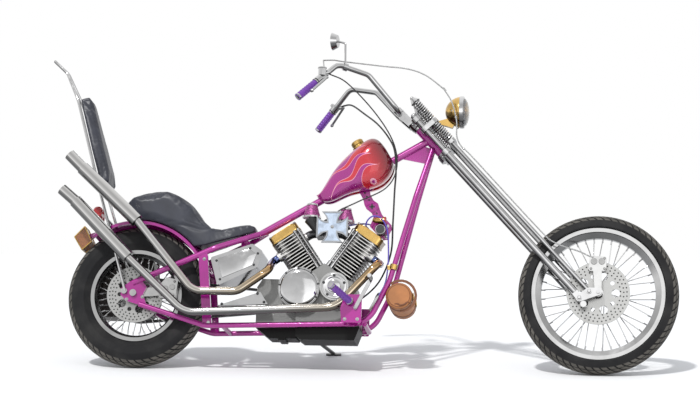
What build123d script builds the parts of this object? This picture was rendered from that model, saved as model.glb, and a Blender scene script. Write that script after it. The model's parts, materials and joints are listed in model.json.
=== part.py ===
"""Chopper motorcycle with a springer fork, parked on its side stand.

The machine is drawn upright, in millimetres: X forward, Y to its left, Z up, with the
origin where the rear tyre would touch the ground. The last section turns the steered
pieces, leans the whole machine onto its side stand and sets the origin under its middle.
"""

import os
from math import acos, atan2, cos, degrees, radians, sin, sqrt, tan

from build123d import *

# Stance
LEAN = 16.0
STEER_TURN = 2.0
WHEELBASE = 2160.0
RAKE = 42.5
STEM_OFFSET = 90.0

# Wheels
REAR_TYRE_R = 333.0
FRONT_TYRE_R = 370.0
TYRE_W = 130.0
CROWN_R = 66.0
REAR_FLANGE_R = 217.0
FRONT_FLANGE_R = 306.0
BEAD_W = 88.0
FLANGE_T = 5.0
FLANGE_H = 14.0
RIM_T = 3.5
SEAT_W = 16.0
WELL_W = 30.0
REAR_WELL_DEPTH = 14.0
FRONT_WELL_DEPTH = 26.0
TYRE_FIT = 0.2
SPOKES_PER_SIDE = 20
SPOKE_R = 2.2
SPOKE_SWEEP = 46.0
HUB_FLANGE_Y = 34.0
HUB_FLANGE_R = 40.0
HUB_FLANGE_T = 5.0
HUB_BARREL_R = 24.0
HUB_END_R = 38.0
HUB_HALF = 50.0
AXLE_R = 10.0
BORE_FIT = 0.05
RUN_GAP = 0.3
DISC_T = 5.0
FRONT_DISC_R = 146.0
REAR_DISC_R = 133.5
DISC_EYE_R = 26.0
DISC_HOLES = 5
DISC_HOLE_PITCH_R = 80.0
DISC_HOLE_R = 19.0
DISC_SMALL_HOLE_R = 10.0
SPROCKET_R = 100.0
SPROCKET_T = 8.0
REAR_HUB_RIGHT = 72.0
REAR_HUB_LEFT = 74.0

# Frame
NECK_R = 26.0
NECK_LOW = 977.0
NECK_HIGH = 1163.0
STEM_R = 14.0
STEM_FIT = 0.1
BACKBONE_R = 17.5
BACKBONE_LOW = (560.0, 636.0)
BACKBONE_HIGH = (1350.0, 1099.5)
TUNNEL_GAP = 3.0
TANK_COLLARS = (400.0, 660.0)
DOWN_TUBE_R = 12.7
RAIL_R = 14.0
RAIL_Y = 118.0
SIDE_Y = 112.0
GUSSET_T = 8.0
POST_W = 42.0
POST_T = 20.0
PLATE_IN = 102.0
PLATE_T = 12.0
CROSS_TUBE_R = 12.0

# Rear fender, seat and backrest
FENDER_SKIRT_R = 338.0
FENDER_SHOULDER_R = 352.0
FENDER_CROWN_R = 370.0
FENDER_HALF_W = 87.0
FENDER_T = 3.0
FENDER_FROM = 33.0
TAB_ANGLE = 21.8
TAB_R = 367.0
SADDLE_ANGLE = 112.5
SADDLE_R = 373.0
LAMP_ANGLE = 117.9
LAMP_FOOT_R = 376.0
LAMP_R = 446.5
FENDER_TO = 128.0
SOFT_GAP = 0.5
SEAT_EDGE_R = 356.0
SEAT_HALF_W = 104.0
SEAT_NOSE_HALF_W = 62.0
SISSY_R = 7.0
PAD_T = 46.0
PAD_HALF_W = 84.0

# Springer fork, in its own plane: forward of the steering axis, and along it from the
# level of the front axle
LEG_Y = 88.0
REAR_LEG_FORWARD = 12.5
FRONT_LEG_FORWARD = 63.0
REAR_LEG_R = 16.5
REAR_LEG_TOP_R = 13.5
FRONT_LEG_R = 10.0
REAR_PIVOT = (7.5, 36.0)
FRONT_PIVOT = (60.4, 28.0)
PIN_R = 8.0
EYE_T = 16.0
EYE_R = 17.0
LEG_FOOT = 72.0
FRONT_LEG_FOOT = 62.0
LOWER_TREE = (952.0, 976.0)
TOP_CLAMP = (1164.0, 1188.0)
PERCH = (1102.0, 1124.0)
BRIDGE = (976.0, 992.0)
TOP_SPRING_END = 1243.0
SPRING_R = 22.0
SPRING_WIRE = 6.4
SPRING_ROD_R = 8.0
LOWER_COILS = 8
UPPER_COILS = 9
ROCKER_T = 10.0
ROCKER_R = 17.0

# Handlebar and its fittings
BAR_R = 12.7
BAR_CLAMP = (1222.0, 1226.0)
BAR_FIRST_BEND = (1087.0, 150.0, 1380.0)
BAR_SECOND_BEND = (951.0, 222.0, 1418.0)
BAR_END = (779.0, 335.0, 1239.0)
BAR_BEND_R = 50.0
RISER_Y = 42.0
RISER_T = 24.0
GRIP_LENGTH = 120.0
GRIP_R = 17.5
MIRROR_HOLE_R = 4.25
HEADLIGHT_Z = 1244.0
HEADLIGHT_BACK = 1434.0
HEADLIGHT_RIM = 1514.0
HEADLIGHT_R = 74.0
HEADLIGHT_FRONT = 1548.0

# Engine
CRANK = (891.0, 349.0)
V_HALF_ANGLE = 34.5
BARREL_R = 50.0
BARREL_FROM = 118.0
HEAD_FROM = 240.0
HEAD_TOP = 330.0
HEAD_CORE = 118.0
FIN_FROM = 132.0
FIN_PITCH = 15.5
FIN_COUNT = 13
FIN_T = 4.0
FIN_LENGTH = 152.0
FIN_WIDTH = 150.0
FIN_CORNER = 34.0
COVER_H = 36.0
COVER_LENGTH = 150.0
COVER_WIDTH = 128.0
PORT_HEIGHT = 290.0
INTAKE_REACH = 84.0
EXHAUST_HEIGHT = 270.0
EXHAUST_REACH = 84.0
PORT_Y = 38.0
CASE_HALF_W = 88.0
GEARBOX_HALF_W = 62.0
GEAR_COVER = (945.0, 376.0)
GEAR_COVER_R = 67.0
CLUTCH_COVER = (780.0, 368.0)
CLUTCH_COVER_R = 97.0
COVER_FACE = 138.0
PRIMARY_IN = 93.0
PRIMARY_FACE = 148.0
PRIMARY_FRONT_R = 96.0
PRIMARY_REAR = (655.0, 342.0)
PRIMARY_REAR_R = 80.0
FRONT_SPROCKET = (630.0, 336.0)
FRONT_SPROCKET_R = 42.0
CHAIN_Y = 78.0
CHAIN_W = 14.0
CHAIN_H = 13.0
ENGINE_MOUNTS = (700.0, 960.0)
CROSS_CENTRE = (929.0, 653.0)
CROSS_SIZE = 150.0
CROSS_T = 18.0
CROSS_FACE = 152.0

BOX_OUTLINE = ((362, 503), (558, 570), (608, 535), (584, 459), (401, 370))

# Exhausts
HEADER_R = 19.0
MUFFLER_R = 31.5
TIP_R = 27.0
PIPE_Y = 170.0
MUFFLER_Y = 178.0
TIP_BORE_R = 23.0
TIP_LENGTH = 92.0
HEADER_BEND = 70.0

# Stand
STAND_PIVOT = (800.0, 207.0)
STAND_FOOT = (878.0, 540.0)
STAND_R = 9.0
FOOT_T = 8.0
FOOT_LENGTH = 74.0
FOOT_WIDTH = 40.0

lean = radians(LEAN)
rake = radians(RAKE)
FORWARD = Vector(cos(rake), 0, sin(rake))
ALONG = Vector(-sin(rake), 0, cos(rake))
GROUND_UP = Vector(0, -sin(lean), cos(lean))
REAR_AXLE_Z = REAR_TYRE_R + CROWN_R * (1 / cos(lean) - 1)
REAR_HUB = Vector(0, 0, REAR_AXLE_Z)


def front_axle_height():
    """Axle height at which the leaned and steered front tyre meets the same floor."""
    foot_z = -STEM_OFFSET * FORWARD
    turn = Axis((0, 0, 0), ALONG)
    hub = foot_z + Vector(-foot_z.X, -foot_z.Y, -foot_z.Z).rotate(turn, -STEER_TURN)
    spin = Vector(0, 1, 0).rotate(turn, -STEER_TURN)
    hub_up = hub.dot(GROUND_UP)
    spin_up = spin.dot(GROUND_UP)
    circle_r = FRONT_TYRE_R - CROWN_R
    return (CROWN_R + circle_r * sqrt(1 - spin_up**2) - hub_up) / cos(lean)


FRONT_HUB = Vector(WHEELBASE, 0, front_axle_height())
STEM_FOOT = FRONT_HUB - STEM_OFFSET * FORWARD
STEM_AXIS = Axis(STEM_FOOT, ALONG)

finished = []


def keep(builder, label, steered=False):
    """Labels a finished piece and puts it aside for the last section."""
    builder.part.label = label
    finished.append((builder.part, label, steered))


def fork_point(forward, y, along):
    """A point given forward of the steering axis, to the left of it and along it."""
    return STEM_FOOT + forward * FORWARD + along * ALONG + Vector(0, y, 0)


def fork_plane(along, y=0.0):
    """A plane across the steering axis, its X pointing forward and its Z up the axis."""
    return Plane(origin=fork_point(0, y, along), x_dir=FORWARD, z_dir=ALONG)


def side_plane(y):
    """The upright plane at a given Y, its X forward and its Y up; it faces the right."""
    return Plane(origin=(0, y, 0), x_dir=(1, 0, 0), z_dir=(0, -1, 0))


def bent_tube(points, radius, bend):
    """A round bar along straight runs joined by arcs of one radius, or of a list."""
    with BuildPart() as tube:
        with BuildLine() as route:
            if len(points) == 2:
                Line(*points)
            else:
                FilletPolyline(*points, radius=bend)
        with BuildSketch(Plane(origin=route.line @ 0, z_dir=route.line % 0)):
            Circle(radius)
        sweep(path=route.line)
    return tube.part


def straight_rod(start, end, radius, end_radius=None):
    """A round bar or a cone from one point to another."""
    start = Vector(*start)
    end = Vector(*end)
    plane = Plane(origin=start, z_dir=end - start)
    with BuildPart() as rod:
        with BuildSketch(plane):
            Circle(radius)
        if end_radius is None:
            extrude(amount=(end - start).length)
        else:
            with BuildSketch(plane.offset((end - start).length)):
                Circle(end_radius)
            loft()
    return rod.part


def side_slab(outline, y_from, y_to, corner=0.0):
    """A flat piece with an outline of (x, z) points, between two values of Y."""
    with BuildPart() as slab:
        with BuildSketch(side_plane(max(y_from, y_to))) as face:
            with BuildLine():
                Polyline(*outline, close=True)
            make_face()
            if corner:
                fillet(face.vertices(), corner)
        extrude(amount=abs(y_to - y_from))
    return slab.part


def side_disc(x, z, radius, y_from, y_to):
    """A round piece with its axis across the machine."""
    with BuildPart() as disc:
        with BuildSketch(side_plane(max(y_from, y_to))):
            with Locations((x, z)):
                Circle(radius)
        extrude(amount=abs(y_to - y_from))
    return disc.part


def turned_ring(hub, outline):
    """A body turned about a wheel's axis from (radius, y) points."""
    with BuildPart() as ring:
        with BuildSketch(Plane(origin=hub)):
            with BuildLine():
                Polyline(*outline, close=True)
            make_face()
        revolve(axis=Axis(hub, (0, 1, 0)))
    return ring.part


def tyre_ring(hub, tyre_r, flange_r):
    """A tyre that sits between the rim's flanges, with a round crown."""
    bead = BEAD_W / 2 - TYRE_FIT
    seat = flange_r - FLANGE_H + TYRE_FIT
    shoulder = tyre_r - CROWN_R + sqrt(CROWN_R**2 - (TYRE_W / 2) ** 2)
    neck = flange_r + 2
    bulge = ((neck + shoulder) / 2, TYRE_W / 2 - (shoulder - neck) * 0.04)
    with BuildPart() as ring:
        with BuildSketch(Plane(origin=hub)):
            with BuildLine():
                ThreePointArc((shoulder, -TYRE_W / 2), (tyre_r, 0), (shoulder, TYRE_W / 2))
                Polyline((shoulder, TYRE_W / 2), bulge, (neck, bead), (seat, bead))
                Line((seat, bead), (seat, -bead))
                Polyline((seat, -bead), (neck, -bead), (bulge[0], -bulge[1]), (shoulder, -TYRE_W / 2))
            make_face()
        revolve(axis=Axis(hub, (0, 1, 0)))
    return ring.part


def rim_ring(hub, flange_r, well_depth):
    """A stepped rim: flanges, bead seats and the deep well that the spokes enter."""
    inside = BEAD_W / 2
    outside = inside + FLANGE_T
    seat = flange_r - FLANGE_H
    well = seat - well_depth
    step = inside - SEAT_W
    half = [
        (flange_r, outside),
        (flange_r, inside),
        (seat, inside),
        (seat, step),
        (well, WELL_W / 2),
        (well - RIM_T, WELL_W / 2),
        (seat - RIM_T, step),
        (seat - RIM_T, outside),
    ]
    tyre_side = half[:5]
    hub_side = half[5:]
    outline = [(r, -y) for r, y in tyre_side] + [(r, y) for r, y in reversed(tyre_side)]
    outline += [(r, y) for r, y in reversed(hub_side)] + [(r, -y) for r, y in hub_side]
    return turned_ring(hub, outline)


def spoke_bars(hub, rim_r):
    """Crossed spokes from both hub flanges to the bottom of the rim's well."""
    bars = []
    for side in (-1, 1):
        for index in range(SPOKES_PER_SIDE):
            at_rim = (index + 0.25 * side) * 360 / SPOKES_PER_SIDE
            sweep_sign = 1 if index % 2 else -1
            at_hub = at_rim + sweep_sign * SPOKE_SWEEP
            hub_y = side * (HUB_FLANGE_Y + sweep_sign * 1.5)
            hub_r = HUB_FLANGE_R - 6
            a = radians(at_hub)
            b = radians(at_rim)
            start = hub + Vector(hub_r * cos(a), hub_y, hub_r * sin(a))
            end = hub + Vector(rim_r * cos(b), side * 6, rim_r * sin(b))
            with BuildPart() as bar:
                with BuildSketch(Plane(origin=start, z_dir=end - start)):
                    RegularPolygon(SPOKE_R, 6)
                extrude(amount=(end - start).length)
            bars.append(bar.part)
    return bars


def hub_body(hub, right, left):
    """A hub with two spoke flanges, bored for its axle."""
    inner = HUB_FLANGE_Y - HUB_FLANGE_T / 2
    outer = HUB_FLANGE_Y + HUB_FLANGE_T / 2
    bore = AXLE_R + BORE_FIT
    outline = [
        (bore, -right),
        (HUB_END_R, -right),
        (HUB_END_R, -right + HUB_FLANGE_T),
        (HUB_BARREL_R, -right + HUB_FLANGE_T),
        (HUB_BARREL_R, -outer),
        (HUB_FLANGE_R, -outer),
        (HUB_FLANGE_R, -inner),
        (HUB_BARREL_R - 2, -inner + 8),
        (HUB_BARREL_R - 2, inner - 8),
        (HUB_FLANGE_R, inner),
        (HUB_FLANGE_R, outer),
        (HUB_BARREL_R, outer),
        (HUB_BARREL_R, left - HUB_FLANGE_T),
        (HUB_END_R, left - HUB_FLANGE_T),
        (HUB_END_R, left),
        (bore, left),
    ]
    return turned_ring(hub, outline)


def brake_disc(hub, radius, face_y):
    """A brake disc with a ring of large and small holes; its outer face is at face_y."""
    with BuildPart() as disc:
        with BuildSketch(Plane(origin=hub + Vector(0, face_y + DISC_T, 0), x_dir=(1, 0, 0), z_dir=(0, -1, 0))):
            Circle(radius)
            Circle(DISC_EYE_R, mode=Mode.SUBTRACT)
            with PolarLocations(DISC_HOLE_PITCH_R * radius / FRONT_DISC_R, DISC_HOLES):
                Circle(DISC_HOLE_R, mode=Mode.SUBTRACT)
            with PolarLocations(DISC_HOLE_PITCH_R * radius / FRONT_DISC_R, DISC_HOLES, start_angle=36):
                Circle(DISC_SMALL_HOLE_R, mode=Mode.SUBTRACT)
        extrude(amount=DISC_T)
    return disc.part


# Front wheel
front_well = FRONT_FLANGE_R - FLANGE_H - FRONT_WELL_DEPTH
front_disc_face = -HUB_HALF - DISC_T

with BuildPart() as front_tyre:
    add(tyre_ring(FRONT_HUB, FRONT_TYRE_R, FRONT_FLANGE_R))
keep(front_tyre, "front_tyre", steered=True)

with BuildPart() as front_wheel:
    add(rim_ring(FRONT_HUB, FRONT_FLANGE_R, FRONT_WELL_DEPTH))
    add(hub_body(FRONT_HUB, HUB_HALF, HUB_HALF))
    add(spoke_bars(FRONT_HUB, front_well - RIM_T / 2))
keep(front_wheel, "front_wheel", steered=True)

with BuildPart() as front_disc:
    add(brake_disc(FRONT_HUB, FRONT_DISC_R, front_disc_face))
keep(front_disc, "front_disc", steered=True)

# Rear wheel
rear_well = REAR_FLANGE_R - FLANGE_H - REAR_WELL_DEPTH
rear_disc_face = -REAR_HUB_RIGHT - DISC_T

with BuildPart() as rear_tyre:
    add(tyre_ring(REAR_HUB, REAR_TYRE_R, REAR_FLANGE_R))
keep(rear_tyre, "rear_tyre")

with BuildPart() as rear_wheel:
    add(rim_ring(REAR_HUB, REAR_FLANGE_R, REAR_WELL_DEPTH))
    add(hub_body(REAR_HUB, REAR_HUB_RIGHT, REAR_HUB_LEFT))
    add(spoke_bars(REAR_HUB, rear_well - RIM_T / 2))
keep(rear_wheel, "rear_wheel")

with BuildPart() as rear_disc:
    add(brake_disc(REAR_HUB, REAR_DISC_R, rear_disc_face))
keep(rear_disc, "rear_disc")

with BuildPart() as rear_sprocket:
    add(side_disc(REAR_HUB.X, REAR_HUB.Z, SPROCKET_R, REAR_HUB_LEFT, REAR_HUB_LEFT + SPROCKET_T))
    add(side_disc(REAR_HUB.X, REAR_HUB.Z, DISC_EYE_R, REAR_HUB_LEFT - 1, REAR_HUB_LEFT + SPROCKET_T + 1), mode=Mode.SUBTRACT)
    for spot in PolarLocations(62, 6).local_locations:
        add(
            side_disc(REAR_HUB.X + spot.position.X, REAR_HUB.Z + spot.position.Y, 18, 0, 200),
            mode=Mode.SUBTRACT,
        )
keep(rear_sprocket, "rear_sprocket")

# Side stand: its hinge stands across the open leg and the folded leg
ground_z = STAND_FOOT[1] * tan(lean)
stand_pivot = Vector(STAND_PIVOT[0], 152, STAND_PIVOT[1] - 14)
foot_top = Vector(STAND_FOOT[0], STAND_FOOT[1], ground_z) + GROUND_UP * FOOT_T
leg_out = (foot_top - stand_pivot).normalized()
leg_folded = Vector(-0.98, 0.15, 0.05).normalized()
stand_axis = leg_out.cross(leg_folded).normalized()


def box_top(x):
    """Height of the battery box's sloping top."""
    (x0, z0), (x1, z1) = BOX_OUTLINE[:2]
    return z0 + (z1 - z0) * (x - x0) / (x1 - x0)


# Frame
backbone_low = Vector(BACKBONE_LOW[0], 0, BACKBONE_LOW[1])
tab_seat = REAR_HUB + (TAB_R - CROSS_TUBE_R) * Vector(cos(radians(TAB_ANGLE)), 0, sin(radians(TAB_ANGLE)))
backbone_high = Vector(BACKBONE_HIGH[0], 0, BACKBONE_HIGH[1])
rail_low_z = 196.0
rail_rear = (345.0, 186.0)
down_tube_route = [(1378, 18, 1060), (1309, 62, 822), (1200, RAIL_Y, 405), (1104, RAIL_Y, 206), (345, RAIL_Y, 186), (30, SIDE_Y, 284)]
down_tube_bends = [400, 200, 120, 120]
seat_rail_route = [(600, 14, 652), (520, 62, 614), (380, SIDE_Y, 556), (-5, SIDE_Y, 384)]
seat_rail_bends = [60, 90]
post_low = (357.0, 190.0)
post_high = (322.0, 524.0)
axle_plate_outline = [(-60, 326), (-58, 360), (-16, 392), (30, 402), (62, 366), (45, 330), (70, 268), (30, 280), (-30, 298)]

with BuildPart() as frame:
    add(straight_rod(backbone_low, backbone_high, BACKBONE_R))
    add(straight_rod(fork_point(0, 0, NECK_LOW), fork_point(0, 0, NECK_HIGH), NECK_R))
    add(side_slab([(1235, 1015), (1352, 992), (1378, 1065), (1330, 1080)], -GUSSET_T / 2, GUSSET_T / 2))
    for distance in TANK_COLLARS:
        foot = backbone_low + (backbone_high - backbone_low).normalized() * distance
        add(straight_rod(foot, foot + (backbone_high - foot).normalized() * 22, BACKBONE_R + TUNNEL_GAP))
    for side in (-1, 1):
        add(bent_tube([(x, side * y, z) for x, y, z in down_tube_route], DOWN_TUBE_R, down_tube_bends))
        add(bent_tube([(x, side * y, z) for x, y, z in seat_rail_route], RAIL_R, seat_rail_bends))
        post_faces = (side * SIDE_Y - POST_T / 2, side * SIDE_Y + POST_T / 2)
        post_outline = [
            (post_low[0] - POST_W / 2, post_low[1]),
            (post_low[0] + POST_W / 2, post_low[1]),
            (post_high[0] + POST_W / 2, post_high[1] + 10),
            (post_high[0] - POST_W / 2, post_high[1] - 8),
        ]
        add(side_slab(post_outline, *post_faces))
        plate_faces = (side * PLATE_IN, side * (PLATE_IN + PLATE_T))
        add(side_slab(axle_plate_outline, *plate_faces))
    for x, z in ((430, 188), (1090, 204)):
        add(straight_rod((x, -RAIL_Y, z), (x, RAIL_Y, z), CROSS_TUBE_R))
    add(straight_rod((505, -60, 607), (505, 60, 607), CROSS_TUBE_R))
    add(straight_rod((tab_seat.X, -SIDE_Y, tab_seat.Z), (tab_seat.X, SIDE_Y, tab_seat.Z), CROSS_TUBE_R))
    add(side_slab([(485, box_top(485)), (525, box_top(525)), (525, 607), (485, 607)], -20, 20))
    for side in (-1, 1):
        add(side_slab([(995, 194), (1080, 194), (1080, 222), (995, 222)], side * 120, side * 136))
        add(side_disc(296, 518, 6, side * FENDER_HALF_W, side * 100))
    for height in (8.5, -16):
        lug = Plane(origin=stand_pivot, x_dir=leg_out, z_dir=stand_axis).offset(height)
        with BuildSketch(lug):
            Circle(16)
            with Locations((-18, 0)):
                Rectangle(36, 32)
        extrude(amount=7.5)
    add(straight_rod(stand_pivot - stand_axis * 14, stand_pivot + stand_axis * 14, 8))
    add(
        straight_rod(fork_point(0, 0, NECK_LOW - 5), fork_point(0, 0, NECK_HIGH + 5), STEM_R + STEM_FIT),
        mode=Mode.SUBTRACT,
    )
    add(
        side_disc(REAR_HUB.X, REAR_HUB.Z, AXLE_R + BORE_FIT, -PLATE_IN - 40, PLATE_IN + 40),
        mode=Mode.SUBTRACT,
    )
keep(frame, "frame")

axle_end = PLATE_IN + PLATE_T + 14

with BuildPart() as rear_axle:
    add(side_disc(REAR_HUB.X, REAR_HUB.Z, AXLE_R, -axle_end, axle_end))
    add(side_disc(REAR_HUB.X, REAR_HUB.Z, 17, REAR_HUB_LEFT + RUN_GAP, PLATE_IN))
    add(side_disc(REAR_HUB.X, REAR_HUB.Z, 17, -PLATE_IN, -REAR_HUB_RIGHT - RUN_GAP))
    for side in (-1, 1):
        add(side_disc(REAR_HUB.X, REAR_HUB.Z, 16, side * (PLATE_IN + PLATE_T), side * axle_end))
keep(rear_axle, "rear_axle")

# Rear fender


def polar(radius, angle):
    """A point in the middle plane, round the rear axle."""
    return REAR_HUB + radius * Vector(cos(radians(angle)), 0, sin(radians(angle)))


def radial_plane(angle):
    """The plane through the rear axle at an angle, its X outward and its Y across."""
    outward = (cos(radians(angle)), 0, sin(radians(angle)))
    return Plane(origin=REAR_HUB, x_dir=outward, z_dir=(-outward[2], 0, outward[0]))




def fender_section(grow, inner_grow):
    """The fender's section as a closed band: outer line grown, inner line grown."""
    half = FENDER_HALF_W + grow
    inner_half = FENDER_HALF_W + inner_grow
    with BuildLine() as outline:
        Line((FENDER_SKIRT_R, -half), (FENDER_SHOULDER_R, -half))
        ThreePointArc((FENDER_SHOULDER_R, -half), (FENDER_CROWN_R + grow, 0), (FENDER_SHOULDER_R, half))
        Polyline((FENDER_SHOULDER_R, half), (FENDER_SKIRT_R, half), (FENDER_SKIRT_R, inner_half), (FENDER_SHOULDER_R, inner_half))
        ThreePointArc((FENDER_SHOULDER_R, inner_half), (FENDER_CROWN_R + inner_grow, 0), (FENDER_SHOULDER_R, -inner_half))
        Polyline((FENDER_SHOULDER_R, -inner_half), (FENDER_SKIRT_R, -inner_half), (FENDER_SKIRT_R, -half))
    return outline.line


with BuildPart() as rear_fender:
    with BuildSketch(radial_plane(FENDER_FROM)):
        with BuildLine():
            add(fender_section(0, -FENDER_T))
        make_face()
    revolve(axis=Axis(REAR_HUB, (0, -1, 0)), revolution_arc=FENDER_TO - FENDER_FROM)
    with BuildSketch(radial_plane(TAB_ANGLE - 3)):
        with Locations(((TAB_R + FENDER_CROWN_R) / 2, 0)):
            Rectangle(FENDER_CROWN_R - TAB_R, 40)
    revolve(axis=Axis(REAR_HUB, (0, -1, 0)), revolution_arc=FENDER_FROM + 3 - (TAB_ANGLE - 3))
    add(straight_rod(polar(FENDER_CROWN_R - 2.5, SADDLE_ANGLE), polar(SADDLE_R, SADDLE_ANGLE), 12))
    add(straight_rod(polar(FENDER_CROWN_R - 2.5, LAMP_ANGLE), polar(LAMP_FOOT_R, LAMP_ANGLE), 9))
    add(side_slab([(-250, 633.4), (-240, 614.2), (-219, 628), (-207, 640), (-214, 646)], -16, 16))
keep(rear_fender, "rear_fender")

# Seat: its side outline cut to its plan, and hollowed where the fender and frame carry it
seat_outline = [(-52, 690), (-60, 772), (-30, 800), (60, 822), (135, 833), (195, 808), (256, 752), (299, 690), (345, 648), (400, 644), (465, 663), (528, 680), (556, 672), (552, 648), (480, 620), (331, 572), (250, 560), (100, 640)]
seat_plan = [(-62, -86), (-62, 86), (-20, SEAT_HALF_W), (200, SEAT_HALF_W), (330, SEAT_HALF_W), (440, 84), (556, SEAT_NOSE_HALF_W - 18), (560, 0), (556, -SEAT_NOSE_HALF_W + 18), (440, -84), (330, -SEAT_HALF_W), (200, -SEAT_HALF_W), (-20, -SEAT_HALF_W)]

with BuildPart() as seat:
    add(side_slab(seat_outline, -SEAT_HALF_W, SEAT_HALF_W))
    with BuildSketch(Plane.XY.offset(500)):
        with BuildLine():
            Polyline(*seat_plan, close=True)
        make_face()
    extrude(amount=400, mode=Mode.INTERSECT)
    with BuildSketch(Plane(origin=REAR_HUB)):
        with BuildLine():
            Polyline((0, -130), (SEAT_EDGE_R, -130), (SEAT_EDGE_R, -FENDER_HALF_W - SOFT_GAP))
            ThreePointArc((SEAT_EDGE_R, -FENDER_HALF_W - SOFT_GAP), (FENDER_CROWN_R + SOFT_GAP, 0), (SEAT_EDGE_R, FENDER_HALF_W + SOFT_GAP))
            Polyline((SEAT_EDGE_R, FENDER_HALF_W + SOFT_GAP), (SEAT_EDGE_R, 130), (0, 130), (0, -130))
        make_face()
    revolve(axis=Axis(REAR_HUB, (0, 1, 0)), mode=Mode.SUBTRACT)
    for side in (-1, 1):
        add(
            bent_tube([(x, side * y, z) for x, y, z in seat_rail_route], RAIL_R + SOFT_GAP, seat_rail_bends),
            mode=Mode.SUBTRACT,
        )
    add(straight_rod(backbone_low - Vector(60, 0, 35), backbone_high, BACKBONE_R + 2), mode=Mode.SUBTRACT)
keep(seat, "seat")

# Sissy bar and backrest
sissy_route = [(-38, 124, 343), (-120, 124, 615), (-222, 92, 925), (-333, 56, 1285), (-404, 14, 1432), (-470, 8, 1492)]

with BuildPart() as sissy_bar:
    for side in (-1, 1):
        add(bent_tube([(x, side * y, z) for x, y, z in sissy_route], SISSY_R, [250, 400, 250, 60]))
    add(straight_rod((-404, -14, 1432), (-404, 14, 1432), SISSY_R))
    add(straight_rod((-470, -8, 1492), (-470, 8, 1492), SISSY_R))
    add(straight_rod((-205, -97, 873), (-205, 97, 873), SISSY_R))
    saddle = polar(SADDLE_R + SISSY_R, SADDLE_ANGLE)
    add(straight_rod((saddle.X, -116, saddle.Z), (saddle.X, 116, saddle.Z), SISSY_R))
    for side in (-1, 1):
        add(side_disc(-43, 344, 14, side * (PLATE_IN + PLATE_T), side * (124 + 4)))
keep(sissy_bar, "sissy_bar")

pad_outline = [(-86, 0), (86, 0), (86, 190), (62, 380), (40, 452), (-40, 452), (-62, 380), (-86, 190)]
pad_plane = Plane(origin=(-172.5, 0, 871), x_dir=(0, 1, 0), z_dir=(cos(radians(17)), 0, sin(radians(17))))

with BuildPart() as backrest:
    with BuildSketch(pad_plane) as face:
        with BuildLine():
            Polyline(*pad_outline, close=True)
        make_face()
        fillet(face.vertices(), 16)
    extrude(amount=PAD_T / 2, both=True)
keep(backrest, "backrest")

# Tank
tank_dir = (backbone_high - backbone_low).normalized()
tank_up = Vector(-tank_dir.Z, 0, tank_dir.X)
tank_origin = backbone_low + tank_dir * 336.0
cap_foot = tank_origin + tank_dir * 290 + tank_up * 128
# Sections along the backbone: distance, lowest, highest, half width, corner radius
TANK_SECTIONS = (
    (0.0, 12.0, 34.0, 16.0, 8.0),
    (110.0, -38.0, 80.0, 72.0, 44.0),
    (230.0, -70.0, 122.0, 108.0, 74.0),
    (310.0, -78.0, 138.0, 116.0, 80.0),
    (355.0, -60.0, 138.0, 104.0, 74.0),
    (392.0, -10.0, 44.0, 56.0, 26.0),
)

with BuildPart() as fuel_tank:
    for distance, lowest, highest, half_width, corner in TANK_SECTIONS:
        centre = tank_origin + tank_dir * distance + tank_up * ((lowest + highest) / 2)
        with BuildSketch(Plane(origin=centre, x_dir=(0, 1, 0), z_dir=tank_dir)):
            RectangleRounded(2 * half_width, highest - lowest, corner)
    loft()
    tunnel = Plane(origin=tank_origin - tank_dir * 20, x_dir=(0, 1, 0), z_dir=tank_dir)
    with BuildSketch(tunnel):
        Circle(BACKBONE_R + TUNNEL_GAP)
        with Locations((0, -60)):
            Rectangle(2 * (BACKBONE_R + TUNNEL_GAP), 120)
    extrude(amount=460, mode=Mode.SUBTRACT)
    add(straight_rod(cap_foot, cap_foot + tank_up * 60, 29), mode=Mode.SUBTRACT)
keep(fuel_tank, "fuel_tank")

with BuildPart() as tank_cap:
    add(straight_rod(cap_foot, cap_foot + tank_up * 40, 27))
keep(tank_cap, "tank_cap")

# Engine: crankcase with the gearbox, two finned cylinders and the covers
crank = Vector(CRANK[0], 0, CRANK[1])
tilt = radians(V_HALF_ANGLE)


def deck_height(dx):
    """Height of the cylinder decks above the floor, dx from the crankshaft."""
    return CRANK[1] + (BARREL_FROM - sin(tilt) * abs(dx)) / cos(tilt)


def cylinder_plane(sign, height):
    """A plane across a cylinder, its X fore and aft and its Y across; +1 is the front one."""
    axis = Vector(sign * sin(tilt), 0, cos(tilt))
    return Plane(origin=crank + axis * height, x_dir=(cos(tilt), 0, -sign * sin(tilt)), z_dir=axis)


def cylinder_point(sign, height, out, y=0.0):
    """A point on a cylinder: up its axis, outward from the V, and across."""
    axis = Vector(sign * sin(tilt), 0, cos(tilt))
    outward = Vector(sign * cos(tilt), 0, -sin(tilt))
    return crank + axis * height + outward * out + Vector(0, y, 0)


case_outline = [
    (CRANK[0] - 126, 150),
    (CRANK[0] - 100, 132),
    (CRANK[0] + 150, 132),
    (CRANK[0] + 172, 190),
    (CRANK[0] + 150, deck_height(150)),
    (CRANK[0], deck_height(0)),
    (CRANK[0] - 126, deck_height(126)),
]
gearbox_outline = [(575, 190), (640, 140), (770, 140), (770, deck_height(121) - 2), (730, 418), (600, 420), (575, 380)]

with BuildPart() as crankcase:
    add(side_slab(case_outline, -CASE_HALF_W, CASE_HALF_W))
    add(side_slab(gearbox_outline, -GEARBOX_HALF_W, GEARBOX_HALF_W))
    add(side_disc(*FRONT_SPROCKET, FRONT_SPROCKET_R, CHAIN_Y - SPROCKET_T / 2, CHAIN_Y + SPROCKET_T / 2))
    add(side_disc(*FRONT_SPROCKET, 16, GEARBOX_HALF_W, PRIMARY_IN))
    for x in ENGINE_MOUNTS:
        add(side_slab([(x - 16, 132), (x + 16, 132), (x + 16, 160), (x - 16, 160)], -GEARBOX_HALF_W, GEARBOX_HALF_W))
keep(crankcase, "crankcase")


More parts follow.
